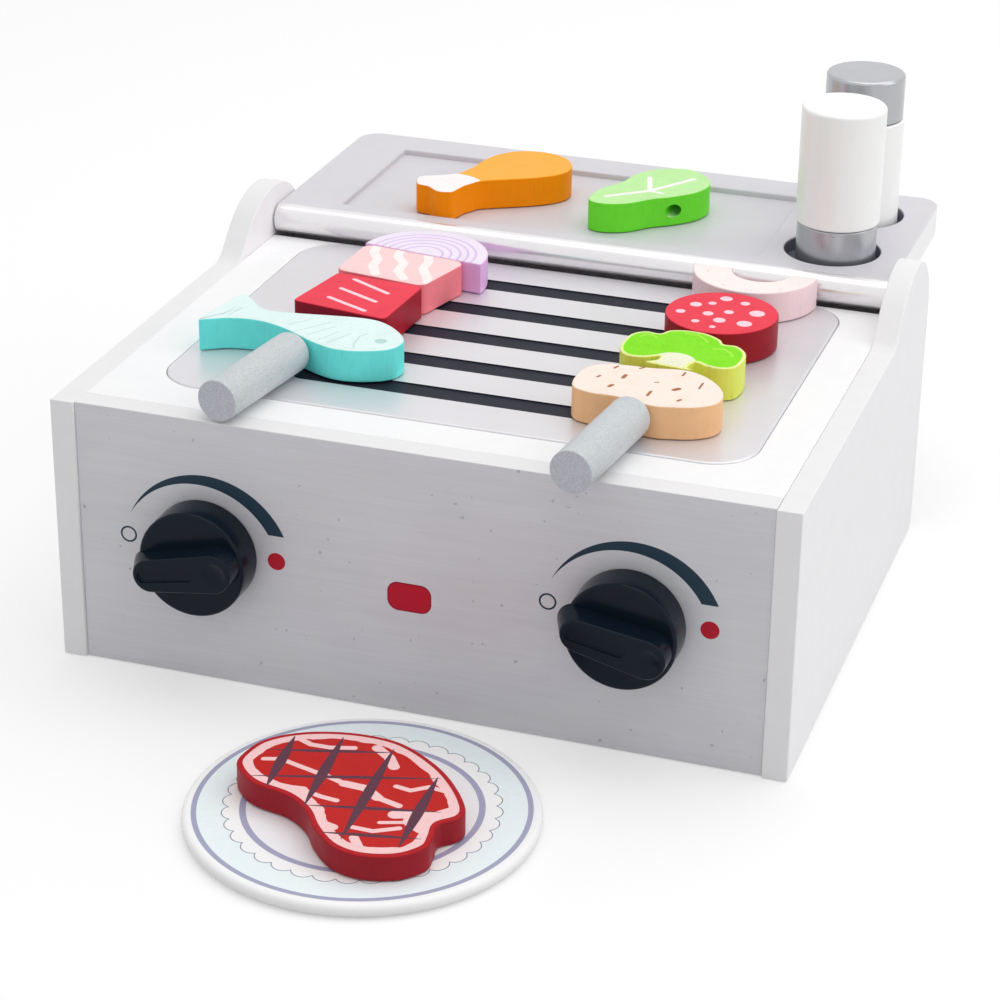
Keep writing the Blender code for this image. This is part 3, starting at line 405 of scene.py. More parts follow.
@dataclass(frozen=True)
class Rim:
    """Band along a piece's outline, up to a distance that wanders by a little."""

    reach: float
    colour: Colour
    wander: float = 0.0

    def mask(self, graph: Graph, place: Socket) -> Socket:
        """Mask of the band, from the distance that the mesh carries."""
        edge = graph.node("Attribute", attribute_type="GEOMETRY", attribute_name=EDGE)
        reach = edge.outputs["Fac"]
        if self.wander:
            noise = graph.math("SUBTRACT", graph.noise(place, 110.0), 0.5)
            reach = graph.math("MULTIPLY_ADD", noise, self.wander * MM, reach)
        return graph.ramp(reach, self.reach * MM + SOFT, self.reach * MM - SOFT)


def spot(x: float, y: float, radius: float, colour: Colour) -> Ring:
    """Printed round spot."""
    return Ring(x, y, 0.0, radius, colour)


def lines(half_width: float, colour: Colour, *runs: Sequence[Point], taper: float = 0.0) -> tuple:
    """Printed strokes along runs of points."""
    return tuple(Stroke(start, end, half_width, colour, taper)
                 for run in runs for start, end in zip(run, run[1:]))


@dataclass(frozen=True)
class Finish:
    """Named material whose nodes each kind of finish adds."""

    name: str

    def inputs(self, graph: Graph, place: Socket, normal: Socket) -> dict[str, object]:
        """Values of the shader's inputs, from the place on the piece and its normal."""
        raise NotImplementedError

    def build(self) -> bpy.types.Material:
        """Give the material, made on first use."""
        found = bpy.data.materials.get(self.name + FINISH)
        if found:
            return found
        made = bpy.data.materials.new(self.name + FINISH)
        made.use_nodes = True
        graph = Graph(made.node_tree)
        given = graph.node("TexCoord").outputs
        shader = made.node_tree.nodes["Principled BSDF"]
        for key, value in self.inputs(graph, given["Object"], given["Normal"]).items():
            graph.feed(shader.inputs[key], value)
        return made


@dataclass(frozen=True)
class Paint(Finish):
    """Paint on wood: one shade where the piece looks up, another on its sides, and printed marks."""

    top: Colour
    side: Colour
    marks: tuple = ()
    rough: float = 0.42
    mottle: float = 0.08
    fibre: float = 0.06
    grit: float = 0.0
    gloss: float = 0.08

    def inputs(self, graph: Graph, place: Socket, normal: Socket) -> dict[str, object]:
        """Values of the shader's inputs."""
        flat = graph.vector("MULTIPLY", place, (1.0, 1.0, 0.0))
        colour = self.top
        for mark in self.marks:
            colour = graph.mix(mark.mask(graph, flat), colour, mark.colour)
        colour = graph.mix(graph.ramp(graph.split(normal)["Z"], 0.55, 0.85), self.side, colour)
        shown, height, rough = painted_wood(graph, colour, place, self.mottle, self.fibre, self.grit)
        return {"Base Color": shown, "Roughness": graph.math("ADD", rough, self.rough),
                "Specular IOR Level": self.gloss, "Normal": graph.relief(height, 0.25, 0.00008)}


@dataclass(frozen=True)
class Foil(Finish):
    """Silver foil with fine brushed lines; where it looks another way, the piece is painted."""

    colour: Colour
    side: Colour
    lines: float = 0.25
    specks: float = 0.25
    rough: float = 0.4
    metallic: float = 0.2
    gloss: float = 0.5
    marks: tuple = ()
    facing: Facing = Facing.UP

    def inputs(self, graph: Graph, place: Socket, normal: Socket) -> dict[str, object]:
        """Values of the shader's inputs."""
        parts, way = graph.split(place), graph.split(normal)
        if self.facing is Facing.UP:
            shown, flat = graph.ramp(way["Z"], 0.3, 0.6), graph.join(parts["X"], parts["Y"])
        else:
            shown, flat = graph.ramp(way["Y"], -0.6, -0.8), graph.join(parts["X"], parts["Z"])
        colour, height, rough = brushed_foil(graph, self.colour, place, self.lines, self.specks)
        metal = self.metallic
        for mark in self.marks:
            mask = mark.mask(graph, flat)
            colour = graph.mix(mask, colour, mark.colour)
            metal = graph.math("MULTIPLY", graph.math("SUBTRACT", 1.0, mask), metal)
        return {"Base Color": graph.mix(shown, self.side, colour),
                "Metallic": graph.math("MULTIPLY", shown, metal), "Specular IOR Level": self.gloss,
                "Roughness": graph.math("ADD", rough, self.rough),
                "Normal": graph.relief(height, 0.12, 0.00005)}


@dataclass(frozen=True)
class Plain(Finish):
    """Evenly coloured finish with a fine mottle, for metal, plastic and bare board."""

    colour: Colour
    rough: float
    metallic: float = 0.0
    mottle: float = 0.1
    fibre: float = 0.0
    gloss: float = 0.5
    grain: float = 0.15

    def inputs(self, graph: Graph, place: Socket, normal: Socket) -> dict[str, object]:
        """Values of the shader's inputs."""
        shown, height, rough = painted_wood(graph, self.colour, place, self.mottle, self.fibre)
        return {"Base Color": shown, "Roughness": graph.math("ADD", rough, self.rough),
                "Metallic": self.metallic, "Specular IOR Level": self.gloss,
                "Normal": graph.relief(height, self.grain, 0.00006)}


@dataclass(frozen=True)
class NosedBoard(Finish):
    """Finish of the shelf: pale paint, white edges, painted shade in the pockets and a glossy silver front
    edge.
    """

    paint: Colour
    silver: Colour
    edge: Colour
    # Dark colour painted into the pockets as shade
    pocket_shade: Colour
    nose_end: Point = (-0.0002, -0.0006)
    side_rim: Point = (0.118, 0.121)
    back_rim: Point = (0.092, 0.095)
    # Where the painted pocket shade starts, across the board and down from its top
    pocket_side: Point = (0.0725, 0.0735)
    pocket_top: Point = (0.0056, 0.0050)

    def inputs(self, graph: Graph, place: Socket, normal: Socket) -> dict[str, object]:
        """Values of the shader's inputs."""
        parts, way = graph.split(place), graph.split(normal)
        level = graph.ramp(graph.math("ABSOLUTE", way["X"]), 0.8, 0.5)
        nose = graph.math("MULTIPLY", graph.ramp(parts["Y"], *self.nose_end), level)
        turned = graph.ramp(graph.math("ABSOLUTE", way["Z"]), 0.6, 0.3)
        outer = graph.math("MAXIMUM", graph.ramp(graph.math("ABSOLUTE", parts["X"]), *self.side_rim),
                           graph.ramp(parts["Y"], *self.back_rim))
        # Painted shade: the pockets' walls and floor are darkened, away from the outer rims
        pocket_shade_mask = graph.math("MULTIPLY", graph.ramp(parts["X"], *self.pocket_side),
                          graph.ramp(parts["Z"], *self.pocket_top))
        pocket_shade_mask = graph.math("MULTIPLY", pocket_shade_mask, graph.math("SUBTRACT", 1.0, outer))
        colour = graph.mix(pocket_shade_mask, self.paint, self.pocket_shade)
        colour = graph.mix(graph.math("MULTIPLY", turned, outer), colour, self.edge)
        colour = graph.mix(nose, colour, self.silver)
        shown, height, _ = painted_wood(graph, colour, place, 0.03, 0.02)
        return {"Base Color": shown, "Metallic": graph.math("MULTIPLY", nose, 0.7),
                "Roughness": graph.ramp(nose, 0.0, 1.0, 0.42, 0.2),
                "Normal": graph.relief(height, 0.1, 0.00005)}


class Shape:
    """Mesh and outline helpers."""

    @staticmethod
    def arc(u: float, v: float, radius: float, start: float, end: float, steps: int) -> Outline:
        """Points along an arc, from one angle to another."""
        angles = [start + (end - start) * i / steps for i in range(steps + 1)]
        return [(u + radius * math.cos(a), v + radius * math.sin(a)) for a in angles]

    @staticmethod
    def fillet(points: Sequence[tuple], steps: int = 6) -> Outline:
        """Round the corners of a polygon.

        Args:
            points: corners as (u, v, radius); a radius of zero keeps the corner.
            steps: number of steps of each round corner.

        Returns:
            The outline.
        """
        outline: Outline = []
        count = len(points)
        for i, (u, v, radius) in enumerate(points):
            corner = Vector((u, v))
            if radius <= 0:
                outline.append((u, v))
                continue
            back = (Vector(points[i - 1][:2]) - corner).normalized()
            ahead = (Vector(points[(i + 1) % count][:2]) - corner).normalized()
            half = back.angle(ahead) / 2
            centre = corner + (back + ahead).normalized() * (radius / math.sin(half))
            first = corner + back * (radius / math.tan(half)) - centre
            last = corner + ahead * (radius / math.tan(half)) - centre
            turn = first.angle_signed(last)
            begin = math.atan2(first.y, first.x)
            outline += Shape.arc(centre.x, centre.y, radius, begin, begin - turn, steps)
        return outline

    @staticmethod
    def rectangle(low_u: float, low_v: float, high_u: float, high_v: float, radius: float,
                  steps: int = 6) -> Outline:
        """Rectangle with round corners."""
        return Shape.fillet([(low_u, low_v, radius), (high_u, low_v, radius), (high_u, high_v, radius),
                             (low_u, high_v, radius)], steps)

    @staticmethod
    def curved(shares: Sequence[Point], width: float, length: float, steps: int = 5) -> Outline:
        """Closed curve through an outline of shares, as wide and as long as the piece."""
        count = len(shares)
        outline = []
        for i in range(count):
            before, start, end, after = (Vector(shares[(i + k) % count]) for k in (-1, 0, 1, 2))
            for k in range(steps):
                t = k / steps
                point = (start * 2 + (end - before) * t + (before * 2 - start * 5 + end * 4 - after) * t ** 2
                         + (start * 3 - before - end * 3 + after) * t ** 3) / 2
                outline.append(point)
        low, high = Shape.bounds(outline)
        return [((point.x - low.x) / (high.x - low.x) * width - width / 2,
                 (point.y - low.y) / (high.y - low.y) * length - length / 2) for point in outline]

    @staticmethod
    def scaled(shares: Sequence[Point], width: float, length: float, radius: float) -> Outline:
        """Polygon with round corners, scaled from shares."""
        return Shape.fillet([(u * width, v * length, radius) for u, v in shares])

    @staticmethod
    def bounds(points: Sequence[Vector]) -> tuple[Vector, Vector]:
        """Lower and upper corner of the rectangle that holds the points."""
        return tuple(Vector((pick(p.x for p in points), pick(p.y for p in points))) for pick in (min, max))

    @staticmethod
    def ordered(outline: Outline) -> Outline:
        """The outline counter-clockwise, without points that coincide."""
        kept = [point for i, point in enumerate(outline)
                if (Vector(point) - Vector(outline[i - 1])).length > TINY]
        area = sum(a[0] * b[1] - b[0] * a[1] for a, b in zip(kept, kept[1:] + kept[:1]))
        return kept if area > 0 else kept[::-1]

    @staticmethod
    def inset(outline: Outline, distance: float) -> Outline:
        """Move a counter-clockwise outline inwards by a distance."""
        moved = []
        count = len(outline)
        for i in range(count):
            here = Vector(outline[i])
            first = (here - Vector(outline[i - 1])).normalized()
            second = (Vector(outline[(i + 1) % count]) - here).normalized()
            way = (first + second).normalized()
            reach = distance / max(BLUNT, way.dot(first))
            moved.append((here.x - way.y * reach, here.y + way.x * reach))
        return moved

    @staticmethod
    def shade(mesh: bpy.types.Mesh) -> bpy.types.Mesh:
        """Make a mesh smooth but for sharp edges, and give it back."""
        mesh.shade_smooth()
        mesh.set_sharp_from_angle(angle=SHARP)
        return mesh

    @staticmethod
    def finish(bm: bmesh.types.BMesh, name: str) -> bpy.types.Mesh:
        """Turn a bmesh into a mesh with outward faces."""
        bmesh.ops.recalc_face_normals(bm, faces=bm.faces)
        mesh = bpy.data.meshes.new(name)
        bm.to_mesh(mesh)
        bm.free()
        return Shape.shade(mesh)

    @staticmethod
    def stack(bm: bmesh.types.BMesh, rings: Sequence[Sequence[Vector]]) -> list[list]:
        """Join rings of as many points with sides, close both ends and return the rings' vertices."""
        made = [[bm.verts.new(point) for point in ring] for ring in rings]
        count = len(made[0])
        for lower, upper in zip(made, made[1:]):
            for i in range(count):
                j = (i + 1) % count
                bm.faces.new((lower[i], lower[j], upper[j], upper[i]))
        bm.faces.new(made[0][::-1])
        bm.faces.new(made[-1])
        return made

    @staticmethod
    def closed(name: str, levels: Sequence[tuple[Outline, float]]) -> bpy.types.Mesh:
        """Closed mesh through outlines, each at its height."""
        bm = bmesh.new()
        Shape.stack(bm, [[Vector((x, y, z)) for x, y in outline] for outline, z in levels])
        return Shape.finish(bm, name)

    @staticmethod
    def slab(name: str, outline: Outline, low: float, high: float, edge: float, facing: Facing = Facing.UP,
             steps: int = 3, net: float = 0.0) -> bpy.types.Mesh:
        """Flat piece with rounded edges.

        Args:
            name: the mesh's name.
            outline: the piece's outline.
            low: where its thickness starts.
            high: where its thickness ends.
            edge: radius of its rounded edges.
            facing: direction of its thickness.
            steps: number of steps of the rounded edges.
            net: spacing of the net that the upper face of an upright slab gets, or zero.

        Returns:
            The mesh. With a net, its points carry their distance from the outline.
        """
        outline = Shape.ordered(outline)
        turned = {Facing.UP: lambda u, v, w: Vector((u, v, w)),
                  Facing.ACROSS: lambda u, v, w: Vector((w, u, v)),
                  Facing.FORWARD: lambda u, v, w: Vector((u, w, v))}[facing]
        levels = []
        for k in range(steps + 1):
            angle = QUARTER * k / steps
            levels.append((edge * (1 - math.sin(angle)), low + edge * (1 - math.cos(angle))))
        levels += [(inward, high + low - level) for inward, level in reversed(levels)]
        bm = bmesh.new()
        rings = [[turned(u, v, w) for u, v in Shape.inset(outline, inward)] for inward, w in levels]
        last = Shape.stack(bm, rings)[-1]
        if net:
            Shape.net(bm, last, net)
            layer = bm.verts.layers.float.new(EDGE)
            for vert in bm.verts:
                vert[layer] = Shape.reach(vert.co.xy, outline)
        return Shape.finish(bm, name)

    @staticmethod
    def net(bm: bmesh.types.BMesh, ring: list, spacing: float) -> None:
        """Replace the flat face inside a ring of vertices by a net of triangles."""
        bm.faces.remove(next(face for face in bm.faces if all(vert in face.verts for vert in ring)))
        border = [vert.co.xy for vert in ring]
        count = len(border)
        low, high = Shape.bounds(border)
        inner = []
        for i in range(int((high.x - low.x) / spacing)):
            for j in range(int((high.y - low.y) / spacing)):
                point = low + Vector((i + 0.5, j + 0.5)) * spacing
                if Shape.reach(point, border) > spacing * NET_MARGIN and Shape.within(point, border):
                    inner.append(point)
        edges = [(i, (i + 1) % count) for i in range(count)]
        verts, _, faces, *_ = delaunay_2d_cdt(border + inner, edges, [], 1, 1e-7)
        height = ring[0].co.z
        made = ring + [bm.verts.new((*point, height)) for point in verts[count:]]
        for face in faces:
            bm.faces.new([made[i] for i in face])

    @staticmethod
    def reach(point: Vector, outline: Sequence) -> float:
        """Distance of a point from an outline."""
        best = math.inf
        for i, end in enumerate(outline):
            start = Vector(outline[i - 1])
            way = Vector(end) - start
            share = min(1.0, max(0.0, (point - start).dot(way) / way.length_squared))
            best = min(best, (point - start - way * share).length)
        return best

    @staticmethod
    def within(point: Vector, outline: Sequence) -> bool:
        """Whether a point lies inside an outline."""
        inside = False
        for i, here in enumerate(outline):
            last = outline[i - 1]
            if (here[1] > point.y) != (last[1] > point.y):
                cross = last[0] + (point.y - last[1]) / (here[1] - last[1]) * (here[0] - last[0])
                inside ^= point.x < cross
        return inside

    @staticmethod
    def lathe(name: str, profile: Sequence[Point], sides: int) -> bpy.types.Mesh:
        """Turn a profile of (radius, height) points, which starts and ends on the axis, about Z."""
        bm = bmesh.new()
        rings = []
        for radius, height in profile:
            turn = [2 * math.pi * i / sides for i in range(sides if radius > TINY else 1)]
            rings.append([bm.verts.new((radius * math.cos(a), radius * math.sin(a), height)) for a in turn])
        for lower, upper in zip(rings, rings[1:]):
            for i in range(sides):
                j = (i + 1) % sides
                loop = [lower[i % len(lower)], lower[j % len(lower)], upper[j % len(upper)],
                        upper[i % len(upper)]]
                bm.faces.new(list(dict.fromkeys(loop)))
        return Shape.finish(bm, name)

    @staticmethod
    def turned_profile(points: Sequence[tuple], steps: int = 4) -> Outline:
        """Round the corners of a profile whose ends lie on the axis, given as (radius, height, corner)."""
        return Shape.fillet([(0.0, points[0][1], 0.0), *points[1:-1], (0.0, points[-1][1], 0.0)], steps)

    @staticmethod
    def rods(name: str, runs: Sequence[tuple], sides: int = 24) -> bpy.types.Mesh:
        """Closed cylinders, each given as start, end and radius."""
        bm = bmesh.new()
        turn = [2 * math.pi * i / sides for i in range(sides)]
        for start, end, radius in runs:
            start, end = Vector(start), Vector(end)
            axis = (end - start).normalized()
            side = axis.orthogonal().normalized()
            other = axis.cross(side)
            ring = [side * radius * math.cos(a) + other * radius * math.sin(a) for a in turn]
            Shape.stack(bm, [[place + point for point in ring] for place in (start, end)])
        return Shape.finish(bm, name)


def at(x: float, y: float, z: float) -> Vector:
    """Place in the shared frame of a point measured from the box's left lower front corner."""
    return Vector((x - MIDDLE_X, y - MIDDLE_Y, z))


def new_object(name: str, mesh: bpy.types.Mesh, place: Vector = Vector(ORIGIN),
               turn: Sequence[float] = ORIGIN) -> bpy.types.Object:
    """Link a mesh as an object at a place."""
    item = bpy.data.objects.new(name, mesh)
    bpy.context.scene.collection.objects.link(item)
    item.location = place
    item.rotation_euler = turn
    return item


def carve(item: bpy.types.Object, *cutters: bpy.types.Object, first: str = "DIFFERENCE") -> None:
    """Cut other objects out of an item for good, and remove them.

    Args:
        item: the piece that is cut.
        cutters: the objects that cut it.
        first: what is done with the first of them, which can also be joined or intersected.
    """
    for number, cutter in enumerate(cutters):
        change = item.modifiers.new(cutter.name, "BOOLEAN")
        change.solver = "EXACT"
        change.operation = "DIFFERENCE" if number else first
        change.object = cutter
    bpy.context.view_layer.update()
    shown = item.evaluated_get(bpy.context.evaluated_depsgraph_get())
    mesh = bpy.data.meshes.new_from_object(shown)
    item.modifiers.clear()
    item.data = Shape.shade(mesh)
    for cutter in cutters:
        bpy.data.objects.remove(cutter, do_unlink=True)


def dress(item: bpy.types.Object, body: str, finish: Finish, *nodes: str) -> None:
    """Give a piece its finish, tie it to its body and let it stand for its solids.

    Args:
        item: the piece.
        body: the body that it moves with.
        finish: its finish, unless it has its materials already.
        nodes: the solids that it replaces.
    """
    if not item.data.materials:
        item.data.materials.append(finish.build())
    smooth = item.modifiers.new("even shading", "WEIGHTED_NORMAL")
    smooth.keep_sharp = True
    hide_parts(*nodes)
    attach(item, body)
    LOG.info("%s: %d faces, rides on %s", item.name, len(item.data.polygons), body)


# Finishes of the whole set
WHITE = Paint("white_paint", seen(250, 250, 251), seen(250, 249, 251), rough=0.4, mottle=0.02, fibre=0.02)
SIDE_WHITE = Paint("side_paint", seen(240, 239, 240), seen(250, 249, 251), rough=0.4, mottle=0.02,
                   fibre=0.02)
BOARD = Plain("bare_board", seen(196, 164, 122), 0.8, mottle=0.2, fibre=0.2)
STEEL = Plain("zinc_steel", seen(190, 190, 194), 0.32, metallic=1.0, mottle=0.05)
SILVER = Paint("silver_paint", seen(208, 211, 220), seen(206, 212, 215), rough=0.38, mottle=0.03, fibre=0.05,
               grit=0.22, gloss=0.5)
CAP_SILVER = Plain("cap_silver", seen(182, 184, 188), 0.24, metallic=0.7, mottle=0.03)
BLACK = Plain("black_plastic", seen(16, 27, 39), 0.2, mottle=0.04, gloss=0.13, grain=0.05)
STRIPE = Plain("dark_stripe", seen(38, 40, 52), 0.5, gloss=0.1)
GRILL = Foil("silver_foil", seen(224, 222, 226), seen(228, 228, 231), lines=0.08, specks=0.06, rough=0.36,
             metallic=0.35)
# The shelf's last colour is painted shade for the insides of its pockets
SHELF_FINISH = NosedBoard("shelf_paint", seen(214, 212, 218), seen(240, 238, 240), seen(252, 252, 253),
                          seen(116, 118, 132))
SHAKER_WHITE = Paint("shaker_white", seen(254, 253, 253), seen(255, 255, 254), rough=0.3, mottle=0.01,
                     fibre=0.02, gloss=1.0)


@dataclass(frozen=True)
class Box:
    """Box of the grill: side, front, back and top panels, and the grill plate let into the top."""

    width: float = 0.270
    depth: float = 0.212
    height: float = 0.1005
    board: float = 0.009
    inset: float = 0.001
    seam: float = 0.00004
    top_back: float = 0.1812
    ear_rise: float = 0.0204
    ear_back: float = 0.028
    ear_front: float = 0.040
    ear_fillet: float = 0.012
    heel: float = 0.004
    slope: float = math.radians(45)
    heel_end: float = 0.8
    side_edge: float = 0.0005
    edge: float = 0.0004
    hinge: Point = (0.1856, 0.1068)
    dowel_shares: Point = (0.28, 0.72)
    bore_depth: float = 0.0053
    dowel_bore: Point = (0.0186, 0.0033)
    pin_bore: Point = (0.0206, 0.0028)
    stem_bore: Point = (0.018, 0.0053)
    stem_start: float = -0.004
    knob_spacing: float = 0.07776
    plate_low: Point = (0.0267, 0.0267)
    plate_high: Point = (0.2446, 0.1805)
    plate_corner: float = 0.017
    plate_thickness: float = 0.0035
    plate_proud: float = 0.0005
    plate_edge: float = 0.0009
    groove_count: int = 5
    groove_pitch: float = 0.0265
    groove_width: float = 0.010
    groove_depth: float = 0.0005
    groove_margin: float = 0.0444
    groove_shift: float = 0.0008
    face_margin: float = 0.00002
    floor_margin: float = 0.0001
    top_edge: float = 0.0003
    recess_edge: float = 0.0001
    groove_edge: float = 0.0002

    def ear(self) -> Outline:
        """Side panel seen from the right."""
        peak_y, peak_z = self.depth - self.ear_back, self.height + self.ear_rise
        fall = 1 - math.cos(self.slope)
        front_y = peak_y - self.ear_front * math.sin(self.slope)
        front_z = peak_z - self.ear_front * fall
        fillet_z = self.height + self.ear_fillet * fall
        fillet_y = front_y - (front_z - fillet_z) / math.tan(self.slope)
        outline = Shape.fillet([(0, 0, 0), (self.depth, 0, self.heel),
                                (self.depth, self.height * self.heel_end, 0)])
        outline += Shape.arc(peak_y, peak_z - self.ear_back, self.ear_back, 0, QUARTER, 28)
        outline += Shape.arc(peak_y, peak_z - self.ear_front, self.ear_front, QUARTER, QUARTER + self.slope,
                             18)
        outline += Shape.arc(fillet_y - self.ear_fillet * math.sin(self.slope), self.height + self.ear_fillet,
                             self.ear_fillet, self.slope - QUARTER, -QUARTER, 12)
        return outline + [(0, self.height)]

    def holes(self) -> bpy.types.Object:
        """Cutter for the holes of the dowels, the hinge pins and the knobs' stems."""
        runs = []
        half = self.width / 2
        for sign in (-1, 1):
            x = half + sign * (half - self.board + self.bore_depth)
            for y in (self.inset + self.board / 2, self.depth - self.inset - self.board / 2):
                for share in self.dowel_shares:
                    runs.append((at(x, y, self.height * share), (-sign, 0, 0), *self.dowel_bore))
            runs.append((at(x, *self.hinge), (-sign, 0, 0), *self.pin_bore))
            runs.append((at(half + sign * self.knob_spacing, self.stem_start, KNOB_HEIGHT), (0, 1, 0),
                         *self.stem_bore))
        rods = [(start, start + Vector(way) * length, radius) for start, way, length, radius in runs]
        return new_object("panel_holes", Shape.rods("panel_holes", rods))

    def panel(self, name: str, outline: Outline, start: float, edge: float, facing: Facing,
              finish: Finish) -> None:
        """Upright board with its holes."""
        mesh = Shape.slab(name, outline, start, start + self.board, edge, facing)
        item = new_object(name + "_board", mesh, at(0, 0, 0))
        carve(item, self.holes())
        dress(item, "grill", finish, name)

    def build(self) -> None:
        """Build the side, front, back and top panels."""
        low, high = self.board + self.seam, self.width - self.board - self.seam
        for side, start in (("left", 0.0), ("right", self.width - self.board)):
            self.panel(f"side_panel_{side}", self.ear(), start, self.side_edge, Facing.ACROSS, SIDE_WHITE)
        outline = [(low, 0.0), (high, 0.0), (high, self.height), (low, self.height)]
        for side, start, finish in (("front", self.inset, FRONT),
                                    ("back", self.depth - self.inset - self.board, WHITE)):
            self.panel(f"{side}_panel", outline, start, self.edge, Facing.FORWARD, finish)
        self.top(low, high)

    def top(self, low: float, high: float) -> None:
        """Top panel, with the recess of the grill plate, and the plate itself."""
        front, bottom = self.inset + self.board + self.seam, self.height - self.board
        profile = Shape.fillet([(front, bottom, 0), (self.top_back, bottom, 0),
                                (self.top_back, self.height, self.edge), (front, self.height, self.edge)], 4)
        mesh = Shape.slab("top_board", profile, low, high, self.top_edge, Facing.ACROSS)
        item = new_object("top_board", mesh, at(0, 0, 0))
        floor = self.height + self.plate_proud - self.plate_thickness
        recess = Shape.slab("recess", self.plate(GAP), floor - GAP, self.height + BEYOND, self.recess_edge)
        carve(item, new_object("recess", recess, at(0, 0, 0)))
        dress(item, "grill", WHITE, "top_panel")
        self.grill_plate(floor)

    def plate(self, growth: float = 0.0) -> Outline:
        """Outline of the grill plate, grown for its recess."""
        low, high = (u - growth for u in self.plate_low), (u + growth for u in self.plate_high)
        return Shape.rectangle(*low, *high, self.plate_corner + growth, 14)

    def grill_plate(self, floor: float) -> None:
        """Silver plate with dark grooves across it."""
        top = self.height + self.plate_proud
        mesh = Shape.slab("grooved_plate", self.plate(), floor, top, self.plate_edge, steps=5)
        item = new_object("grooved_plate", mesh, at(0, 0, 0))
        middle = (self.plate_low[1] + self.plate_high[1]) / 2 + self.groove_shift
        low, high = self.plate_low[0] + self.groove_margin, self.plate_high[0] - self.groove_margin
        half = self.groove_width / 2
        cutters = []
        for i in range(self.groove_count):
            centre = middle + (i - (self.groove_count - 1) / 2) * self.groove_pitch
            slot = Shape.rectangle(low, centre - half, high, centre + half, half * ROUND_END, 8)
            mesh = Shape.slab("groove", slot, top - self.groove_depth, top + BEYOND, self.groove_edge,
                              steps=2)
            cutters.append(new_object("groove", mesh, at(0, 0, 0)))
        carve(item, *cutters)
        item.data.materials.append(GRILL.build())
        item.data.materials.append(STRIPE.build())
        for face in item.data.polygons:
            x, y, z = face.center
            within = low - GAP < x < high + GAP
            within &= self.plate_low[1] + BEYOND < y < self.plate_high[1] - BEYOND
            sunk = z < top - self.face_margin and face.normal.z > -0.5
            sunk &= z > top - self.groove_depth - self.floor_margin
            face.material_index = int(within and sunk)
        dress(item, "grill", GRILL, "grill_plate")


@dataclass(frozen=True)
class Knob:
    """Turning knob: a low drum with a tapered pointer, a thumb groove and a dimple."""

    side: str
    x: float
    angle: float
    space: float = 0.0007
    radius: float = 0.0198
    height: float = 0.0125
    edge: float = 0.0012
    stem: float = 0.005
    stem_length: float = 0.0096
    stem_edge: float = 0.0003
    base_edge: float = 0.0004
    rise: float = 0.0085
    reach: float = 0.0224
    tip: float = 0.0064
    head: float = 0.0076
    head_middle: float = -0.0114
    top_edge: float = 0.0007
    tip_lean: float = 0.004
    side_lean: float = 0.0004
    groove: tuple[float, float, float, float] = (-0.20, 0.76, 0.00225, 0.001)
    groove_corner: float = 0.0022
    groove_edge: float = 0.0004
    dimple: tuple[float, float, float] = (-0.56, 0.0048, 0.0012)
    screw_hole: Point = (0.0027, 0.0018)

    def pointer(self, shrink_tip: float, shrink_side: float) -> Outline:
        """Outline of the pointer, with its tip towards +X."""
        tip = self.tip - shrink_side
        outline = Shape.arc(self.reach - shrink_tip - tip, 0, tip, -QUARTER, QUARTER, 16)
        return outline + Shape.arc(self.head_middle, 0, self.head - shrink_side, QUARTER, 3 * QUARTER, 20)

    def pointer_mesh(self) -> bpy.types.Mesh:
        """Pointer with a slanted tip and rounded upper edges."""
        low, top = self.height - self.edge, self.height + self.rise
        levels = [(self.pointer(0.0, 0.0), low)]
        for k in range(5):
            angle = QUARTER * k / 4
            z = top - self.top_edge * (1 - math.sin(angle))
            share, off = (z - low) / (top - low), self.top_edge * (1 - math.cos(angle))
            levels.append((self.pointer(self.tip_lean * share + off, self.side_lean * share + off), z))
        return Shape.closed("pointer", levels)

    def build(self) -> None:
        """Build the knob and give it its place."""
        name, top = f"knob_{self.side}", self.height + self.rise
        profile = Shape.turned_profile([
            (0, -self.stem_length, 0), (self.stem, -self.stem_length, self.stem_edge),
            (self.stem, 0, 0), (self.radius, 0, self.base_edge), (self.radius, self.height, self.edge),
            (0, self.height, 0)], 5)
        item = new_object(name + "_turned", Shape.lathe(name, profile, 72))
        start, end, half, depth = self.groove
        groove = Shape.rectangle(self.reach * start, -half, self.reach * end, half, self.groove_corner, 8)
        slot = Shape.slab("slot", groove, top - depth, top + BEYOND, self.groove_edge)
        share, radius, depth = self.dimple
        ball = (radius ** 2 + depth ** 2) / (2 * depth)
        bowl = [(ball * math.sin(a), top - depth + ball * (1 - math.cos(a)))
                for a in (math.asin(radius / ball) * i / 6 for i in range(7))]
        dimple = Shape.lathe("dimple", [*bowl, (radius, top + BEYOND), (0, top + BEYOND)], 28)
        depth, radius = self.screw_hole
        hole = Shape.rods("screw_hole", [((0, 0, -self.stem_length - BEYOND), (0, 0, depth), radius)])
        carve(item, new_object("pointer", self.pointer_mesh()), new_object("slot", slot),
              new_object("dimple", dimple, (self.reach * share, 0, 0)), new_object("screw_hole", hole),
              first="UNION")
        item.location = at(self.x, self.space, KNOB_HEIGHT)
        item.rotation_euler = (QUARTER, -self.angle, 0.0)
        dress(item, f"{self.side}_knob", BLACK, name)


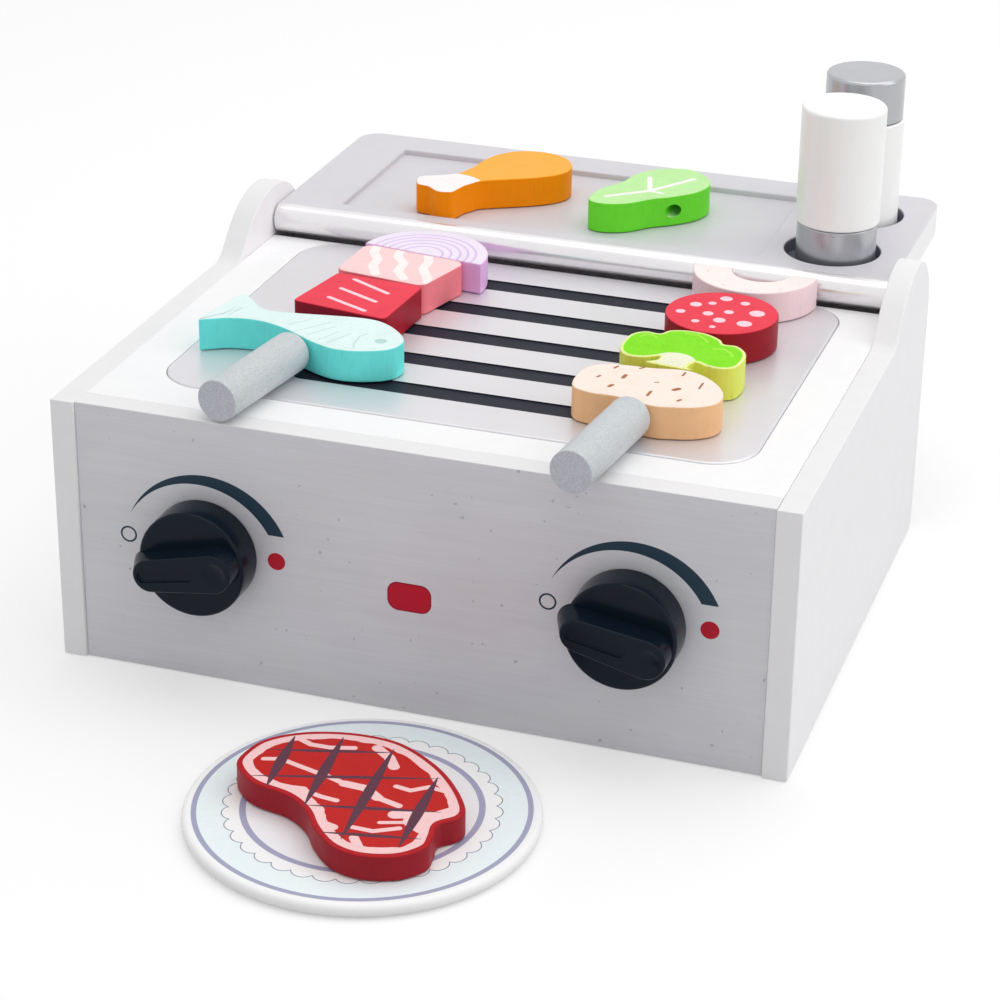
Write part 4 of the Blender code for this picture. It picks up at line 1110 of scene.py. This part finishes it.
@dataclass(frozen=True)
class Shelf:
    """Hinged board with a round silver nose, a shallow tray and two pockets for the shakers."""

    width: float = 0.2506
    length: float = 0.1034
    thickness: float = 0.012
    hinge: tuple[float, float, float] = (0.135, 0.1856, 0.1068)
    corner: float = 0.0105
    side_edge: float = 0.0006
    back_edge: float = 0.0007
    tray_low: Point = (-0.101, 0.0069)
    tray_high: Point = (0.071, 0.0799)
    tray_corner: float = 0.0008
    tray_chamfer: Point = (0.0003, 0.0004)
    plan_half: float = 0.02
    recess: float = 0.0022
    pocket_x: float = 0.096
    pocket_y: Point = (0.025664, 0.070352)
    pocket_radius: float = 0.0187
    pocket_depth: float = 0.006
    pocket_lip: float = 0.0006
    bore: Point = (0.0145, 0.0028)

    def board(self) -> bpy.types.Object:
        """Board with a round front edge and soft back edges."""
        half, edge = self.thickness / 2, self.back_edge
        back = self.length - half - edge
        profile = Shape.arc(0, 0, half, 3 * QUARTER, QUARTER, 36)
        profile += Shape.arc(back, half - edge, edge, QUARTER, 0, 4)
        profile += Shape.arc(back, edge - half, edge, 0, -QUARTER, 4)
        mesh = Shape.slab("shelf", profile, -self.width / 2, self.width / 2, self.side_edge, Facing.ACROSS)
        return new_object("shelf_dressed", mesh)

    def build(self) -> None:
        """Build the shelf."""
        item = self.board()
        half, side = self.thickness / 2, self.width / 2
        wide, back = side + BEYOND, self.length - half
        plan = Shape.ordered(Shape.fillet([
            (-wide, -self.length, 0), (wide, -self.length, 0), (wide, half, 0), (side, half + MM, 0),
            (side, back, self.corner), (-side, back, self.corner), (-side, half + MM, 0),
            (-wide, half, 0)], 8))
        tray = Shape.ordered(Shape.rectangle(*self.tray_low, *self.tray_high, self.tray_corner, 5))
        growth, drop = self.tray_chamfer
        grown = Shape.inset(tray, -growth)
        levels = [(tray, half - self.recess), (tray, half - drop), (grown, half), (grown, half + BEYOND)]
        cutters = [("plan", Shape.closed("plan", [(plan, -self.plan_half), (plan, self.plan_half)])),
                   ("tray", Shape.closed("tray", levels))]
        rim, lip, floor = self.pocket_radius, self.pocket_lip, half - self.pocket_depth
        bowl = [(0, floor), (rim - lip, floor), (rim, floor + lip), (rim, half - lip),
                (rim + lip / 3, half - lip / 3), (rim + lip, half), (rim + lip, half + BEYOND),
                (0, half + BEYOND)]
        for y in self.pocket_y:
            cutters.append(("pocket", Shape.lathe("pocket", bowl, 72), (self.pocket_x, y, 0)))
        depth, radius = self.bore
        bores = [((sign * (side - depth), 0, 0), (sign * wide, 0, 0), radius) for sign in (-1, 1)]
        cutters.append(("pin_bores", Shape.rods("pin_bores", bores)))
        carve(item, *(new_object(*cutter) for cutter in cutters), first="INTERSECT")
        item.location = at(*self.hinge)
        dress(item, "shelf", SHELF_FINISH, "shelf_board")


@dataclass(frozen=True)
class Shaker:
    """Turned white body with a silver cap, upright or standing on its cap."""

    end: str
    x: float
    y: float
    flipped: bool
    floor: float = 0.1071
    radius: float = 0.0162
    body: float = 0.0460
    cap_radius: float = 0.0155
    cap: float = 0.0178
    edge: float = 0.0014
    tenon: float = 0.008
    tenon_length: float = 0.006
    shoulder_edge: float = 0.0008
    tenon_edge: float = 0.0005
    cap_edge: float = 0.0006

    def build(self) -> None:
        """Build the body and the cap."""
        low = self.body + GAP
        top, sunk, hole = low + self.cap, low + self.tenon_length, self.tenon + GAP
        body = [(0, 0, 0), (self.radius, 0, self.edge), (self.radius, self.body, self.shoulder_edge),
                (self.tenon, self.body, 0), (self.tenon, self.body + self.tenon_length, self.tenon_edge),
                (0, self.body + self.tenon_length, 0)]
        cap = [(0, sunk, 0), (hole, sunk, 0), (hole, low, 0), (self.cap_radius, low, self.cap_edge),
               (self.cap_radius, top, self.edge), (0, top, 0)]
        base = self.floor + (top if self.flipped else 0.0)
        turn = (math.pi if self.flipped else 0.0, 0.0, 0.0)
        for part, profile, finish in (("body", body, SHAKER_WHITE), ("cap", cap, CAP_SILVER)):
            name = f"shaker_{part}_{self.end}"
            mesh = Shape.lathe(name, Shape.turned_profile(profile, 5), 72)
            item = new_object(name + "_turned", mesh, at(self.x, self.y, base), turn)
            dress(item, f"{self.end}_shaker", finish, name)


@dataclass(frozen=True)
class Food:
    """Flat wooden food with rounded edges, printed on top and painted on the sides."""

    node: str
    outline: Outline
    finish: Paint
    length: float
    shift: float = 0.0
    space: float = 0.0
    turn: float = 0.0
    thickness: float = 0.0122
    edge: float = 0.0006
    net: float = 0.0

    def build(self, place: Vector, turn: float, body: str, rod: tuple | None = None) -> None:
        """Build the food at a place.

        Args:
            place: middle of its lower face.
            turn: its turn about Z.
            body: the body that it moves with.
            rod: start, end and radius of the rod's hole in the food's own frame.
        """
        mesh = Shape.slab(self.node, self.outline, 0.0, self.thickness, self.edge, net=self.net)
        item = new_object(self.node + "_piece", mesh)
        if rod:
            carve(item, new_object("rod_hole", Shape.rods("rod_hole", [rod])))
        item.location = place
        item.rotation_euler = (0.0, 0.0, turn)
        dress(item, body, self.finish, self.node)


@dataclass(frozen=True)
class Skewer:
    """Row of foods on a thin rod with a dowel handle."""

    side: str
    foods: tuple[Food, ...]
    x: float
    y: float
    angle: float
    last_solid: float
    base: float = 0.1013
    rod_hole: float = 0.0027
    rod_end: float = 0.004
    handle_radius: float = 0.0076
    handle_length: float = 0.052
    handle_round: float = 0.0028
    handle_edge: float = 0.0004
    socket: Point = (0.0153, 0.0018)
    hole_height: float = 0.0122 * 0.56

    def out(self, across: float, along: float, height: float) -> Vector:
        """Place in the shared frame of a point in the row's own frame."""
        spin = Matrix.Rotation(self.angle, 3, "Z")
        return at(self.x, self.y, 0.0) + spin @ Vector((across, along, height))

    def build(self) -> None:
        """Build the foods, and the handle against the first of them."""
        front = -sum(food.length + food.space for food in self.foods)
        tip = -self.foods[-1].length + self.last_solid - self.rod_end
        start = front
        for food in self.foods:
            middle = front + food.length / 2
            far = min(front + food.length + BEYOND, tip + GAP)
            spin = Matrix.Rotation(-food.turn, 3, "Z")
            run = (spin @ Vector((-food.shift, y - middle, self.hole_height)) for y in (start - BEYOND, far))
            food.build(self.out(food.shift, middle, self.base), self.angle + food.turn, f"{self.side}_row",
                       (*run, self.rod_hole))
            front += food.length + food.space
        low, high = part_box(f"skewer_handle_{self.side}")
        self.handle(low, high)

    def handle(self, low: Vector, high: Vector) -> None:
        """Dowel handle, fitted between the corners of its solid's box."""
        profile = Shape.turned_profile([
            (0, 0, 0), (self.handle_radius, 0, self.handle_round),
            (self.handle_radius, self.handle_length, self.handle_edge), (0, self.handle_length, 0)], 6)
        name = f"skewer_handle_{self.side}"
        item = new_object(name + "_turned", Shape.lathe(name, profile, 64))
        depth, radius = self.socket
        carve(item, new_object("socket", Shape.rods("socket", [((0, 0, -BEYOND), (0, 0, depth), radius)])))
        spin = Matrix.Rotation(self.angle, 3, "Z")
        item.rotation_euler = (spin @ Matrix.Rotation(QUARTER, 3, "X")).to_euler()
        item.location = (low + high) / 2 + spin @ Vector((0, self.handle_length / 2, 0))
        dress(item, f"{self.side}_skewer", SILVER, name)


@dataclass(frozen=True)
class Dish:
    """Round plate on the table."""

    x: float = 0.14364
    y: float = -0.0702
    radius: float = 0.0595
    thickness: float = 0.0048
    edge: float = 0.0022

    def build(self) -> None:
        """Build the plate."""
        profile = Shape.turned_profile([
            (0, 0, 0), (self.radius, 0, self.edge), (self.radius, self.thickness, self.edge),
            (0, self.thickness, 0)], 7)
        item = new_object("plate_turned", Shape.lathe("plate", profile, 144), at(self.x, self.y, 0.0))
        dress(item, "serving_plate", DISH_PAINT, "plate")


# Outlines as shares of a piece's width and length, measured from its middle
FISH_SHARES = (
    (-0.50, -0.40), (-0.49, 0.47), (-0.41, 0.40), (-0.29, 0.19), (-0.13, 0.26), (0.01, 0.37),
    (0.16, 0.48), (0.28, 0.50), (0.40, 0.36), (0.50, 0.10), (0.49, -0.21), (0.37, -0.43),
    (0.26, -0.50), (0.16, -0.46), (0.07, -0.38), (-0.05, -0.25), (-0.17, -0.17), (-0.28, -0.17),
    (-0.39, -0.27), (-0.47, -0.42))
MEAT_SHARES = ((-0.50, -0.48), (0.50, -0.50), (0.42, 0.50), (-0.48, 0.44))
BACON_SHARES = ((-0.43, -0.50), (0.43, -0.50), (0.50, 0.50), (-0.50, 0.49))
BREAD_SHARES = (
    (-0.50, -0.20), (-0.50, 0.12), (-0.41, 0.29), (-0.26, 0.36), (-0.11, 0.40), (0.13, 0.50),
    (0.33, 0.37), (0.47, 0.12), (0.50, -0.14), (0.41, -0.33), (0.27, -0.44), (0.12, -0.50),
    (-0.13, -0.44), (-0.30, -0.47), (-0.44, -0.41))
BROCCOLI_SHARES = (
    (-0.46, -0.30), (-0.50, -0.10), (-0.50, 0.14), (-0.42, 0.28), (-0.30, 0.29), (-0.25, 0.42),
    (-0.12, 0.50), (0.04, 0.50), (0.18, 0.41), (0.24, 0.31), (0.35, 0.32), (0.46, 0.18), (0.50, -0.03),
    (0.49, -0.23), (0.40, -0.33), (0.28, -0.33), (0.17, -0.28), (0.15, -0.44), (0.19, -0.50),
    (-0.17, -0.50), (-0.12, -0.40), (-0.13, -0.29), (-0.24, -0.40), (-0.37, -0.42))
CHICKEN_SHARES = (
    (-0.49, -0.30), (-0.45, -0.40), (-0.40, -0.42), (-0.35, -0.43), (-0.30, -0.47), (-0.25, -0.50),
    (-0.20, -0.50), (-0.15, -0.48), (-0.13, -0.42), (-0.11, -0.34), (-0.07, -0.27), (-0.01, -0.20),
    (0.33, -0.02), (0.48, 0.12), (0.50, 0.27), (0.40, 0.43), (0.21, 0.50), (0.02, 0.46),
    (-0.10, 0.35), (-0.16, 0.21), (-0.18, 0.07), (-0.21, -0.04), (-0.24, -0.11), (-0.29, -0.15),
    (-0.35, -0.19), (-0.41, -0.22), (-0.47, -0.25))
PEPPER_SHARES = (
    (-0.50, -0.40), (-0.47, -0.19), (-0.33, 0.02), (-0.28, 0.20), (-0.19, 0.35), (-0.02, 0.46),
    (0.20, 0.50), (0.41, 0.38), (0.50, 0.19), (0.44, 0.00), (0.27, -0.16), (0.08, -0.28),
    (-0.09, -0.43), (-0.27, -0.50), (-0.43, -0.49))
STEAK_SHARES = (
    (-0.49, 0.04), (-0.50, 0.16), (-0.46, 0.30), (-0.34, 0.42), (-0.17, 0.49), (0.00, 0.50),
    (0.13, 0.455), (0.29, 0.33), (0.41, 0.18), (0.49, 0.03), (0.49, -0.06), (0.43, -0.14),
    (0.44, -0.24), (0.44, -0.34), (0.36, -0.45), (0.22, -0.50), (0.09, -0.465), (-0.02, -0.35),
    (-0.10, -0.225), (-0.21, -0.135), (-0.38, -0.08))

# Printed colours
INK = seen(35, 58, 75)
RED = seen(195, 22, 48)
WHITE_INK = seen(255, 250, 250)
FISH_INK = seen(205, 232, 228)
CRUMB = seen(176, 112, 70)
FAT = seen(255, 210, 210)
MEAT_RED = seen(200, 42, 38)
CHAR = seen(100, 62, 78)
PORCELAIN = seen(254, 254, 254)

# Prints of the foods, the plate and the front
FISH_PAINT = Paint("fish_paint", seen(230, 250, 247), seen(118, 244, 238), (
    spot(30.5, -1.8, 2.2, seen(190, 222, 220)),
    *lines(0.35, FISH_INK, ((22.9, 2.5), (21.6, -1.0), (22.2, -4.3), (23.2, -8.4), (25.1, -12.1))),
    *lines(0.3, FISH_INK, ((-6.4, -3.6), (-1.5, 5.1)), ((-1.0, -7.9), (5.9, 5.8)), ((4.3, -8.6), (9.6, 2.8)),
           ((10.4, -10.6), (12.9, -0.8)), ((14.3, -11.7), (17.6, -0.4)), ((-32.7, -7.0), (-32.3, 2.1)),
           ((-30.2, -6.3), (-29.8, 2.8)))), mottle=0.05)

MEAT_PAINT = Paint("meat_paint", seen(242, 62, 82), seen(170, 32, 50), lines(
    0.9, seen(255, 215, 225), ((-9.6, 12.0), (8.2, 5.2)), ((-9.5, 1.6), (8.2, -4.2)),
    ((-9.0, -8.3), (9.0, -14.0))), mottle=0.05)

BACON_PAINT = Paint("bacon_paint", seen(255, 216, 216), seen(255, 138, 148), lines(
    1.8, seen(255, 246, 244), ((-16.5, 14.3), (-14.7, 7.9), (-9.7, 2.0), (-7.8, -5.3), (-2.9, -12.2)),
    ((-7.0, 16.4), (-4.3, 8.1), (1.3, 2.5), (3.2, -5.9), (8.7, -11.3)),
    ((4.2, 16.9), (8.8, 8.6), (10.3, 1.0), (15.5, -5.7), (18.8, -11.0))), mottle=0.04)

ONION_PAINT = Paint("onion_paint", seen(245, 235, 251), seen(240, 190, 244), tuple(
    Ring(0.0, -12.9, radius, 0.45, seen(226, 200, 242)) for radius in (20.6, 17.6, 14.6, 11.1, 7.8)),
    mottle=0.04)

BREAD_PAINT = Paint("bread_paint", seen(255, 238, 226), seen(250, 198, 148), (
    *lines(0.5, CRUMB, ((-17.0, 7.4), (-16.5, 9.4)), ((-8.8, 11.1), (-7.9, 12.5)),
           ((-19.2, -2.4), (-18.8, -1.0))),
    *lines(0.4, CRUMB, ((0.6, 2.0), (1.6, 2.5)), ((16.2, 3.6), (15.7, 8.7))),
    *lines(0.75, CRUMB, ((-10.9, 0.7), (-11.0, 3.4)), ((-12.3, -8.4), (-11.8, -6.7))),
    *lines(0.45, CRUMB, ((6.9, 11.7), (6.8, 14.6))), *lines(0.55, CRUMB, ((2.5, -9.8), (2.3, -6.0))),
    *lines(1.0, CRUMB, ((9.0, -1.2), (10.0, 0.3))), *lines(0.6, CRUMB, ((13.6, -9.4), (14.1, -8.2)))),
    mottle=0.05)

BROCCOLI_PAINT = Paint("broccoli_paint", seen(134, 232, 8), seen(230, 240, 106), (
    *lines(8.2, seen(244, 245, 216), ((-1.5, -22.0), (0.5, -12.6))),
    *lines(0.5, seen(172, 240, 70), ((-18.7, 3.9), (-17.7, 6.7), (-15.5, 7.2), (-12.9, 5.5)),
           ((-5.0, 13.8), (-0.6, 14.5), (3.1, 11.9), (5.2, 9.2)),
           ((9.3, 4.8), (12.6, 5.9), (15.5, 4.2), (17.8, 1.1))),
    Rim(1.2, seen(240, 246, 165))), mottle=0.05, fibre=0.12)

SALAMI_SPOTS = ((-3.5, 13.8, 2.3), (-6.5, 7.3, 1.5), (-11.6, 3.6, 2.2), (-14.2, -5.2, 1.8), (4.5, 12.3, 1.8),
                (2.1, 1.7, 1.8), (-4.3, -2.9, 2.0), (11.9, 4.9, 2.9), (1.8, -7.3, 2.3), (-5.8, -11.8, 1.5),
                (11.2, -6.5, 2.8), (1.8, -14.4, 1.2))
SALAMI_PAINT = Paint("salami_paint", seen(240, 60, 80), seen(152, 32, 42), tuple(
    spot(x, y, radius, seen(255, 214, 224)) for x, y, radius in SALAMI_SPOTS), mottle=0.05)

SQUID_PAINT = Paint("squid_paint", seen(255, 244, 242), seen(254, 226, 230), lines(
    0.35, seen(250, 224, 224), ((-17.5, 5.5), (-16.5, 3.8)), ((-8.5, -6.5), (-7.0, -8.0)),
    ((1.5, -9.5), (3.2, -9.0)), ((13.0, -5.5), (14.0, -4.0))), mottle=0.04)

CHICKEN_PAINT = Paint("chicken_paint", seen(255, 182, 66), seen(255, 146, 8), (
    spot(-14.0, -24.1, 16.2, seen(255, 249, 249)),), mottle=0.04)

PEPPER_PAINT = Paint("pepper_paint", seen(198, 245, 168), seen(116, 236, 58), (
    *lines(1.1, WHITE_INK, ((-14.4, -17.5), (0.1, -5.2), (13.0, 14.6))),
    *lines(1.0, WHITE_INK, ((-4.4, 10.4), (0.1, -5.2))), *lines(0.9, WHITE_INK, ((0.1, -5.2), (5.6, -6.6)))),
    mottle=0.05)

STEAK_PAINT = Paint("steak_paint", MEAT_RED, seen(158, 36, 46), (
    *lines(1.1, FAT, ((-32.8, 9.0), (-27.6, 10.8), (-19.0, 8.3), (-11.4, 6.2)),
           ((-13.6, -4.9), (-6.2, -6.9), (-0.6, -7.5)), ((14.7, 7.3), (19.9, 6.4), (25.0, 10.6), (32.7, 9.4)),
           ((10.4, -20.8), (17.2, -20.9), (24.4, -16.5))),
    *lines(1.9, FAT, ((-1.9, 3.2), (5.7, 2.8), (11.4, -1.4)), ((-29.4, -5.0), (-20.7, -5.9), (-13.6, -4.9)),
           ((0.1, 28.2), (6.0, 23.8), (9.6, 18.6))),
    *lines(1.2, FAT, ((-9.7, 6.0), (-1.9, 3.2)), ((-27.8, 25.7), (-21.6, 22.9), (-14.9, 23.2), (-7.3, 25.6))),
    *lines(1.3, FAT, ((11.4, -1.4), (19.6, -3.8))), *lines(4.0, FAT, ((27.9, -10.8), (32.2, -13.2))),
    *lines(2.4, FAT, ((20.4, -9.2), (26.4, -6.7), (32.6, -6.0), (36.6, -1.5))),
    *lines(0.9, FAT, ((17.5, -15.3), (24.6, -12.7))), *lines(1.6, FAT, ((13.0, -26.6), (16.4, -31.3))),
    *lines(1.8, FAT, ((-7.9, -14.8), (-3.7, -19.1), (0.7, -22.0), (4.3, -23.0))),
    *lines(1.3, MEAT_RED, ((-23.1, 26.8), (-18.3, 27.4), (-12.0, 28.8), (-4.7, 28.9))),
    Rim(5.3, FAT, 4.0), Rim(2.0, seen(186, 36, 42)),
    *lines(1.9, CHAR, ((-28.8, 26.1), (-25.3, -6.8)), ((-13.2, 30.9), (-9.2, -13.5)),
           ((5.5, 29.3), (9.4, -28.6)), ((25.5, 17.1), (28.3, -27.0)), taper=0.92),
    *lines(0.95, CHAR, ((-34.4, 14.9), (6.0, 27.1)), ((-33.7, -2.7), (26.5, 16.6)),
           ((-9.2, -13.5), (33.9, -2.8)), ((1.2, -27.1), (33.3, -20.1)), taper=0.9)), mottle=0.05, fibre=0.1)

DISH_PAINT = Paint("dish_paint", PORCELAIN, seen(254, 253, 254), (
    spot(0.0, 0.0, 55.6, seen(242, 252, 254)), Ring(0.0, 0.0, 55.4, 0.9, seen(172, 174, 200)),
    *(Lace(36, 44.0, 2.3, 0.16, colour, field)
      for colour, field in ((PORCELAIN, True), (seen(120, 124, 150), False))),
    Ring(0.0, 0.0, 39.4, 1.1, seen(172, 172, 200)),
    spot(0.0, 0.0, 38.2, seen(248, 248, 251))), rough=0.28, mottle=0.01, fibre=0.0)


def front_marks(x: float, z: float, dot: Point) -> tuple:
    """Printed scale over one knob, given by the tip of its crescent, and its dot."""
    return (Crescent((x + 29.1, z - 13.8, 32.06), (x + 26.1, z - 15.9, 30.36), z - 0.7, INK),
            Ring(x - 1.2, z - 9.2, 2.8, 0.35, INK), spot(*dot, 3.3, RED))


FRONT = Foil("front_foil", seen(218, 218, 224), seen(238, 237, 238), lines=0.20, specks=0.28, rough=0.42,
             metallic=0.15, gloss=0.2, facing=Facing.FORWARD, marks=(
                 *front_marks(29.0, 61.5, (84.3, 51.0)), *front_marks(184.9, 62.2, (240.6, 52.3)),
                 Patch((125.6, 40.0), (141.8, 51.0), 4.0, seen(150, 20, 45)),
                 Patch((126.1, 40.5), (141.3, 50.5), 3.6, RED)))


def half_disc(width: float, length: float, steps: int = 40) -> Outline:
    """Half disc whose flat side is at the front."""
    return [(width / 2 * math.cos(a), length * math.sin(a) - length / 2)
            for a in (math.pi * i / steps for i in range(steps + 1))]


def half_ring(width: float, length: float, arch: float, shift: float) -> Outline:
    """Half ring, open to the back."""
    outer = [(x, -y) for x, y in half_disc(width, length)]
    return outer + Shape.arc(shift, length / 2, arch, -math.pi, 0, 26)


def skewers() -> list[Skewer]:
    """Both rows of food."""
    left = (
        Food("fish", Shape.curved(FISH_SHARES, 0.0763, 0.0312), FISH_PAINT, 0.0312, -0.0018, 0.0017),
        Food("meat_block", Shape.scaled(MEAT_SHARES, 0.0392, 0.0356, 0.0022), MEAT_PAINT, 0.0356, 0.0002,
             0.0004),
        Food("bacon", Shape.scaled(BACON_SHARES, 0.0436, 0.0298, 0.0042), BACON_PAINT, 0.0298, -0.0025,
             0.0004),
        Food("onion", half_disc(0.0500, 0.0258), ONION_PAINT, 0.0258))
    right = (
        Food("bread", Shape.curved(BREAD_SHARES, 0.0535, 0.0341), BREAD_PAINT, 0.0341, -0.0004, 0.0004),
        Food("broccoli", Shape.curved(BROCCOLI_SHARES, 0.0456, 0.0345), BROCCOLI_PAINT, 0.0345, -0.0019,
             0.0004, edge=0.0004, net=0.0009),
        Food("salami", Shape.arc(0, 0, 0.0208, 0, 2 * math.pi, 72)[:-1], SALAMI_PAINT, 0.0416, -0.0026,
             0.0019),
        Food("squid_ring", half_ring(0.0478, 0.0244, 0.0115, 0.0025), SQUID_PAINT, 0.0244, -0.0054,
             turn=math.radians(6.4)))
    return [Skewer("left", left, 0.08802, 0.1746, math.radians(-8), 0.0258),
            Skewer("right", right, 0.215973, 0.1762, math.radians(-6.4), 0.0129)]


def tray_foods() -> None:
    """Chicken leg and pepper in the shelf's tray, the pepper with a hole at its front."""
    base, across, height, radius = 0.1109, 0.010764, 0.0061, 0.0027
    front, back = -0.028, 0.00405
    chicken = Food("chicken_leg", Shape.curved(CHICKEN_SHARES, 0.0548, 0.0612), CHICKEN_PAINT, 0.0612)
    chicken.build(at(0.088868, 0.2237, base), 0.0, "shelf_chicken")
    pepper = Food("pepper", Shape.curved(PEPPER_SHARES, 0.0414, 0.0519), PEPPER_PAINT, 0.0519)
    hole = ((across, front, height), (across, back, height), radius)
    pepper.build(at(0.15354, 0.228387, base), 0.0, "shelf_pepper", hole)


def dress_hidden(nodes: dict[str, bpy.types.Object]) -> None:
    """Give the hidden solids that stay in the scene their materials."""
    for name, item in nodes.items():
        if item.hide_render:
            continue
        finish = STEEL if name.startswith(("hinge_pin", "knob_", "skewer_rod")) else BOARD
        item.data.materials.clear()
        item.data.materials.append(finish.build())


@dataclass(frozen=True)
class Studio:
    """Floor, backdrop, lamps and the camera at the photograph's angle."""

    eye: Point = (0.305, -0.90105)
    eye_height: float = 0.5023
    azimuth: float = math.radians(18.35)
    pitch: float = math.radians(25.46)
    roll: float = math.radians(0.759)
    lens: float = 103.356
    floor_half: float = 4.0
    aim: tuple[float, float, float] = (0.0, 0.0, 0.06)
    lamps: tuple = (("top_lamp", (0.3, 0.3, 1.6), 1.8, 11.6), ("side_lamp", (1.6, 0.1, 0.8), 1.0, 4.1))
    soft_light: float = 0.66
    floor_shade: Colour = (0.60, 0.60, 0.60)
    floor_glow: float = 0.42

    def camera(self) -> None:
        """Place the camera."""
        data = bpy.data.cameras.new("camera")
        data.lens = self.lens
        data.sensor_width = 36.0
        data.clip_start, data.clip_end = 0.01, 50.0
        item = bpy.data.objects.new("camera", data)
        bpy.context.scene.collection.objects.link(item)
        turn = (Matrix.Rotation(self.azimuth, 4, "Z") @ Matrix.Rotation(QUARTER - self.pitch, 4, "X")
                @ Matrix.Rotation(self.roll, 4, "Z"))
        item.matrix_world = Matrix.Translation((*self.eye, self.eye_height)) @ turn
        bpy.context.scene.camera = item

    def lamp(self, name: str, place: Sequence[float], size: float, power: float) -> None:
        """Place a soft square lamp that looks at the object's middle."""
        data = bpy.data.lights.new(name, "AREA")
        data.size = size
        data.energy = power
        item = bpy.data.objects.new(name, data)
        bpy.context.scene.collection.objects.link(item)
        item.location = place
        aim = Vector(self.aim) - Vector(place)
        item.rotation_euler = aim.to_track_quat("-Z", "Y").to_euler()

    def world(self) -> None:
        """Even white surroundings, softer for diffuse light than for camera and gloss."""
        world = bpy.data.worlds.new("surroundings")
        bpy.context.scene.world = world
        world.use_nodes = True
        graph = Graph(world.node_tree)
        back = world.node_tree.nodes["Background"]
        path = graph.node("LightPath")
        plain = graph.math("MAXIMUM", path.outputs["Is Camera Ray"], path.outputs["Is Glossy Ray"])
        plain = graph.math("MAXIMUM", plain, path.outputs["Is Transmission Ray"])
        back.inputs["Color"].default_value = (1.0, 1.0, 1.0, 1.0)
        graph.feed(back.inputs["Strength"], graph.ramp(plain, 0.0, 1.0, self.soft_light, 1.0))

    def floor(self) -> None:
        """Pale floor that keeps the object's shadow."""
        half = self.floor_half
        mesh = bpy.data.meshes.new("floor")
        signs = ((-1, -1), (1, -1), (1, 1), (-1, 1))
        mesh.from_pydata([(u * half, v * half, -GAP) for u, v in signs], [], [(0, 1, 2, 3)])
        item = bpy.data.objects.new("floor", mesh)
        bpy.context.scene.collection.objects.link(item)
        made = bpy.data.materials.new("floor")
        made.use_nodes = True
        graph = Graph(made.node_tree)
        made.node_tree.nodes.clear()
        plain = graph.node("BsdfDiffuse", {"Color": self.floor_shade})
        path = graph.node("LightPath")
        straight = graph.math("MAXIMUM", path.outputs["Is Camera Ray"], path.outputs["Is Glossy Ray"])
        strength = graph.math("MULTIPLY", straight, self.floor_glow)
        glow = graph.node("Emission", {"Color": (1.0, 1.0, 1.0), "Strength": strength})
        both = graph.node("AddShader", {0: plain.outputs[0], 1: glow.outputs[0]})
        graph.node("OutputMaterial", {"Surface": both.outputs[0]})
        mesh.materials.append(made)

    def build(self) -> None:
        """Build the studio."""
        bpy.context.scene.view_settings.view_transform = "Standard"
        self.world()
        self.floor()
        for lamp in self.lamps:
            self.lamp(*lamp)
        self.camera()


def main() -> None:
    """Load the solids, dress them and report each piece."""
    logging.basicConfig(level=logging.INFO, format="%(message)s")
    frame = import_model()
    Studio().build()
    Box().build()
    Knob("left", 0.05724, math.radians(191)).build()
    Knob("right", 0.21276, math.radians(168.5)).build()
    Shelf().build()
    Shaker("front", 0.23225, 0.211264, True).build()
    Shaker("rear", 0.231, 0.255952, False).build()
    for skewer in skewers():
        skewer.build()
    tray_foods()
    Dish().build()
    steak = Food("steak", Shape.curved(STEAK_SHARES, 0.0824, 0.0714, 6), STEAK_PAINT, 0.0714,
                 thickness=0.0092, edge=0.0007, net=0.0017)
    steak.build(at(0.140546, -0.076626, 0.0051), 0.0, "served_steak")
    dress_hidden(frame["nodes"])


if __name__ == "__main__":
    main()
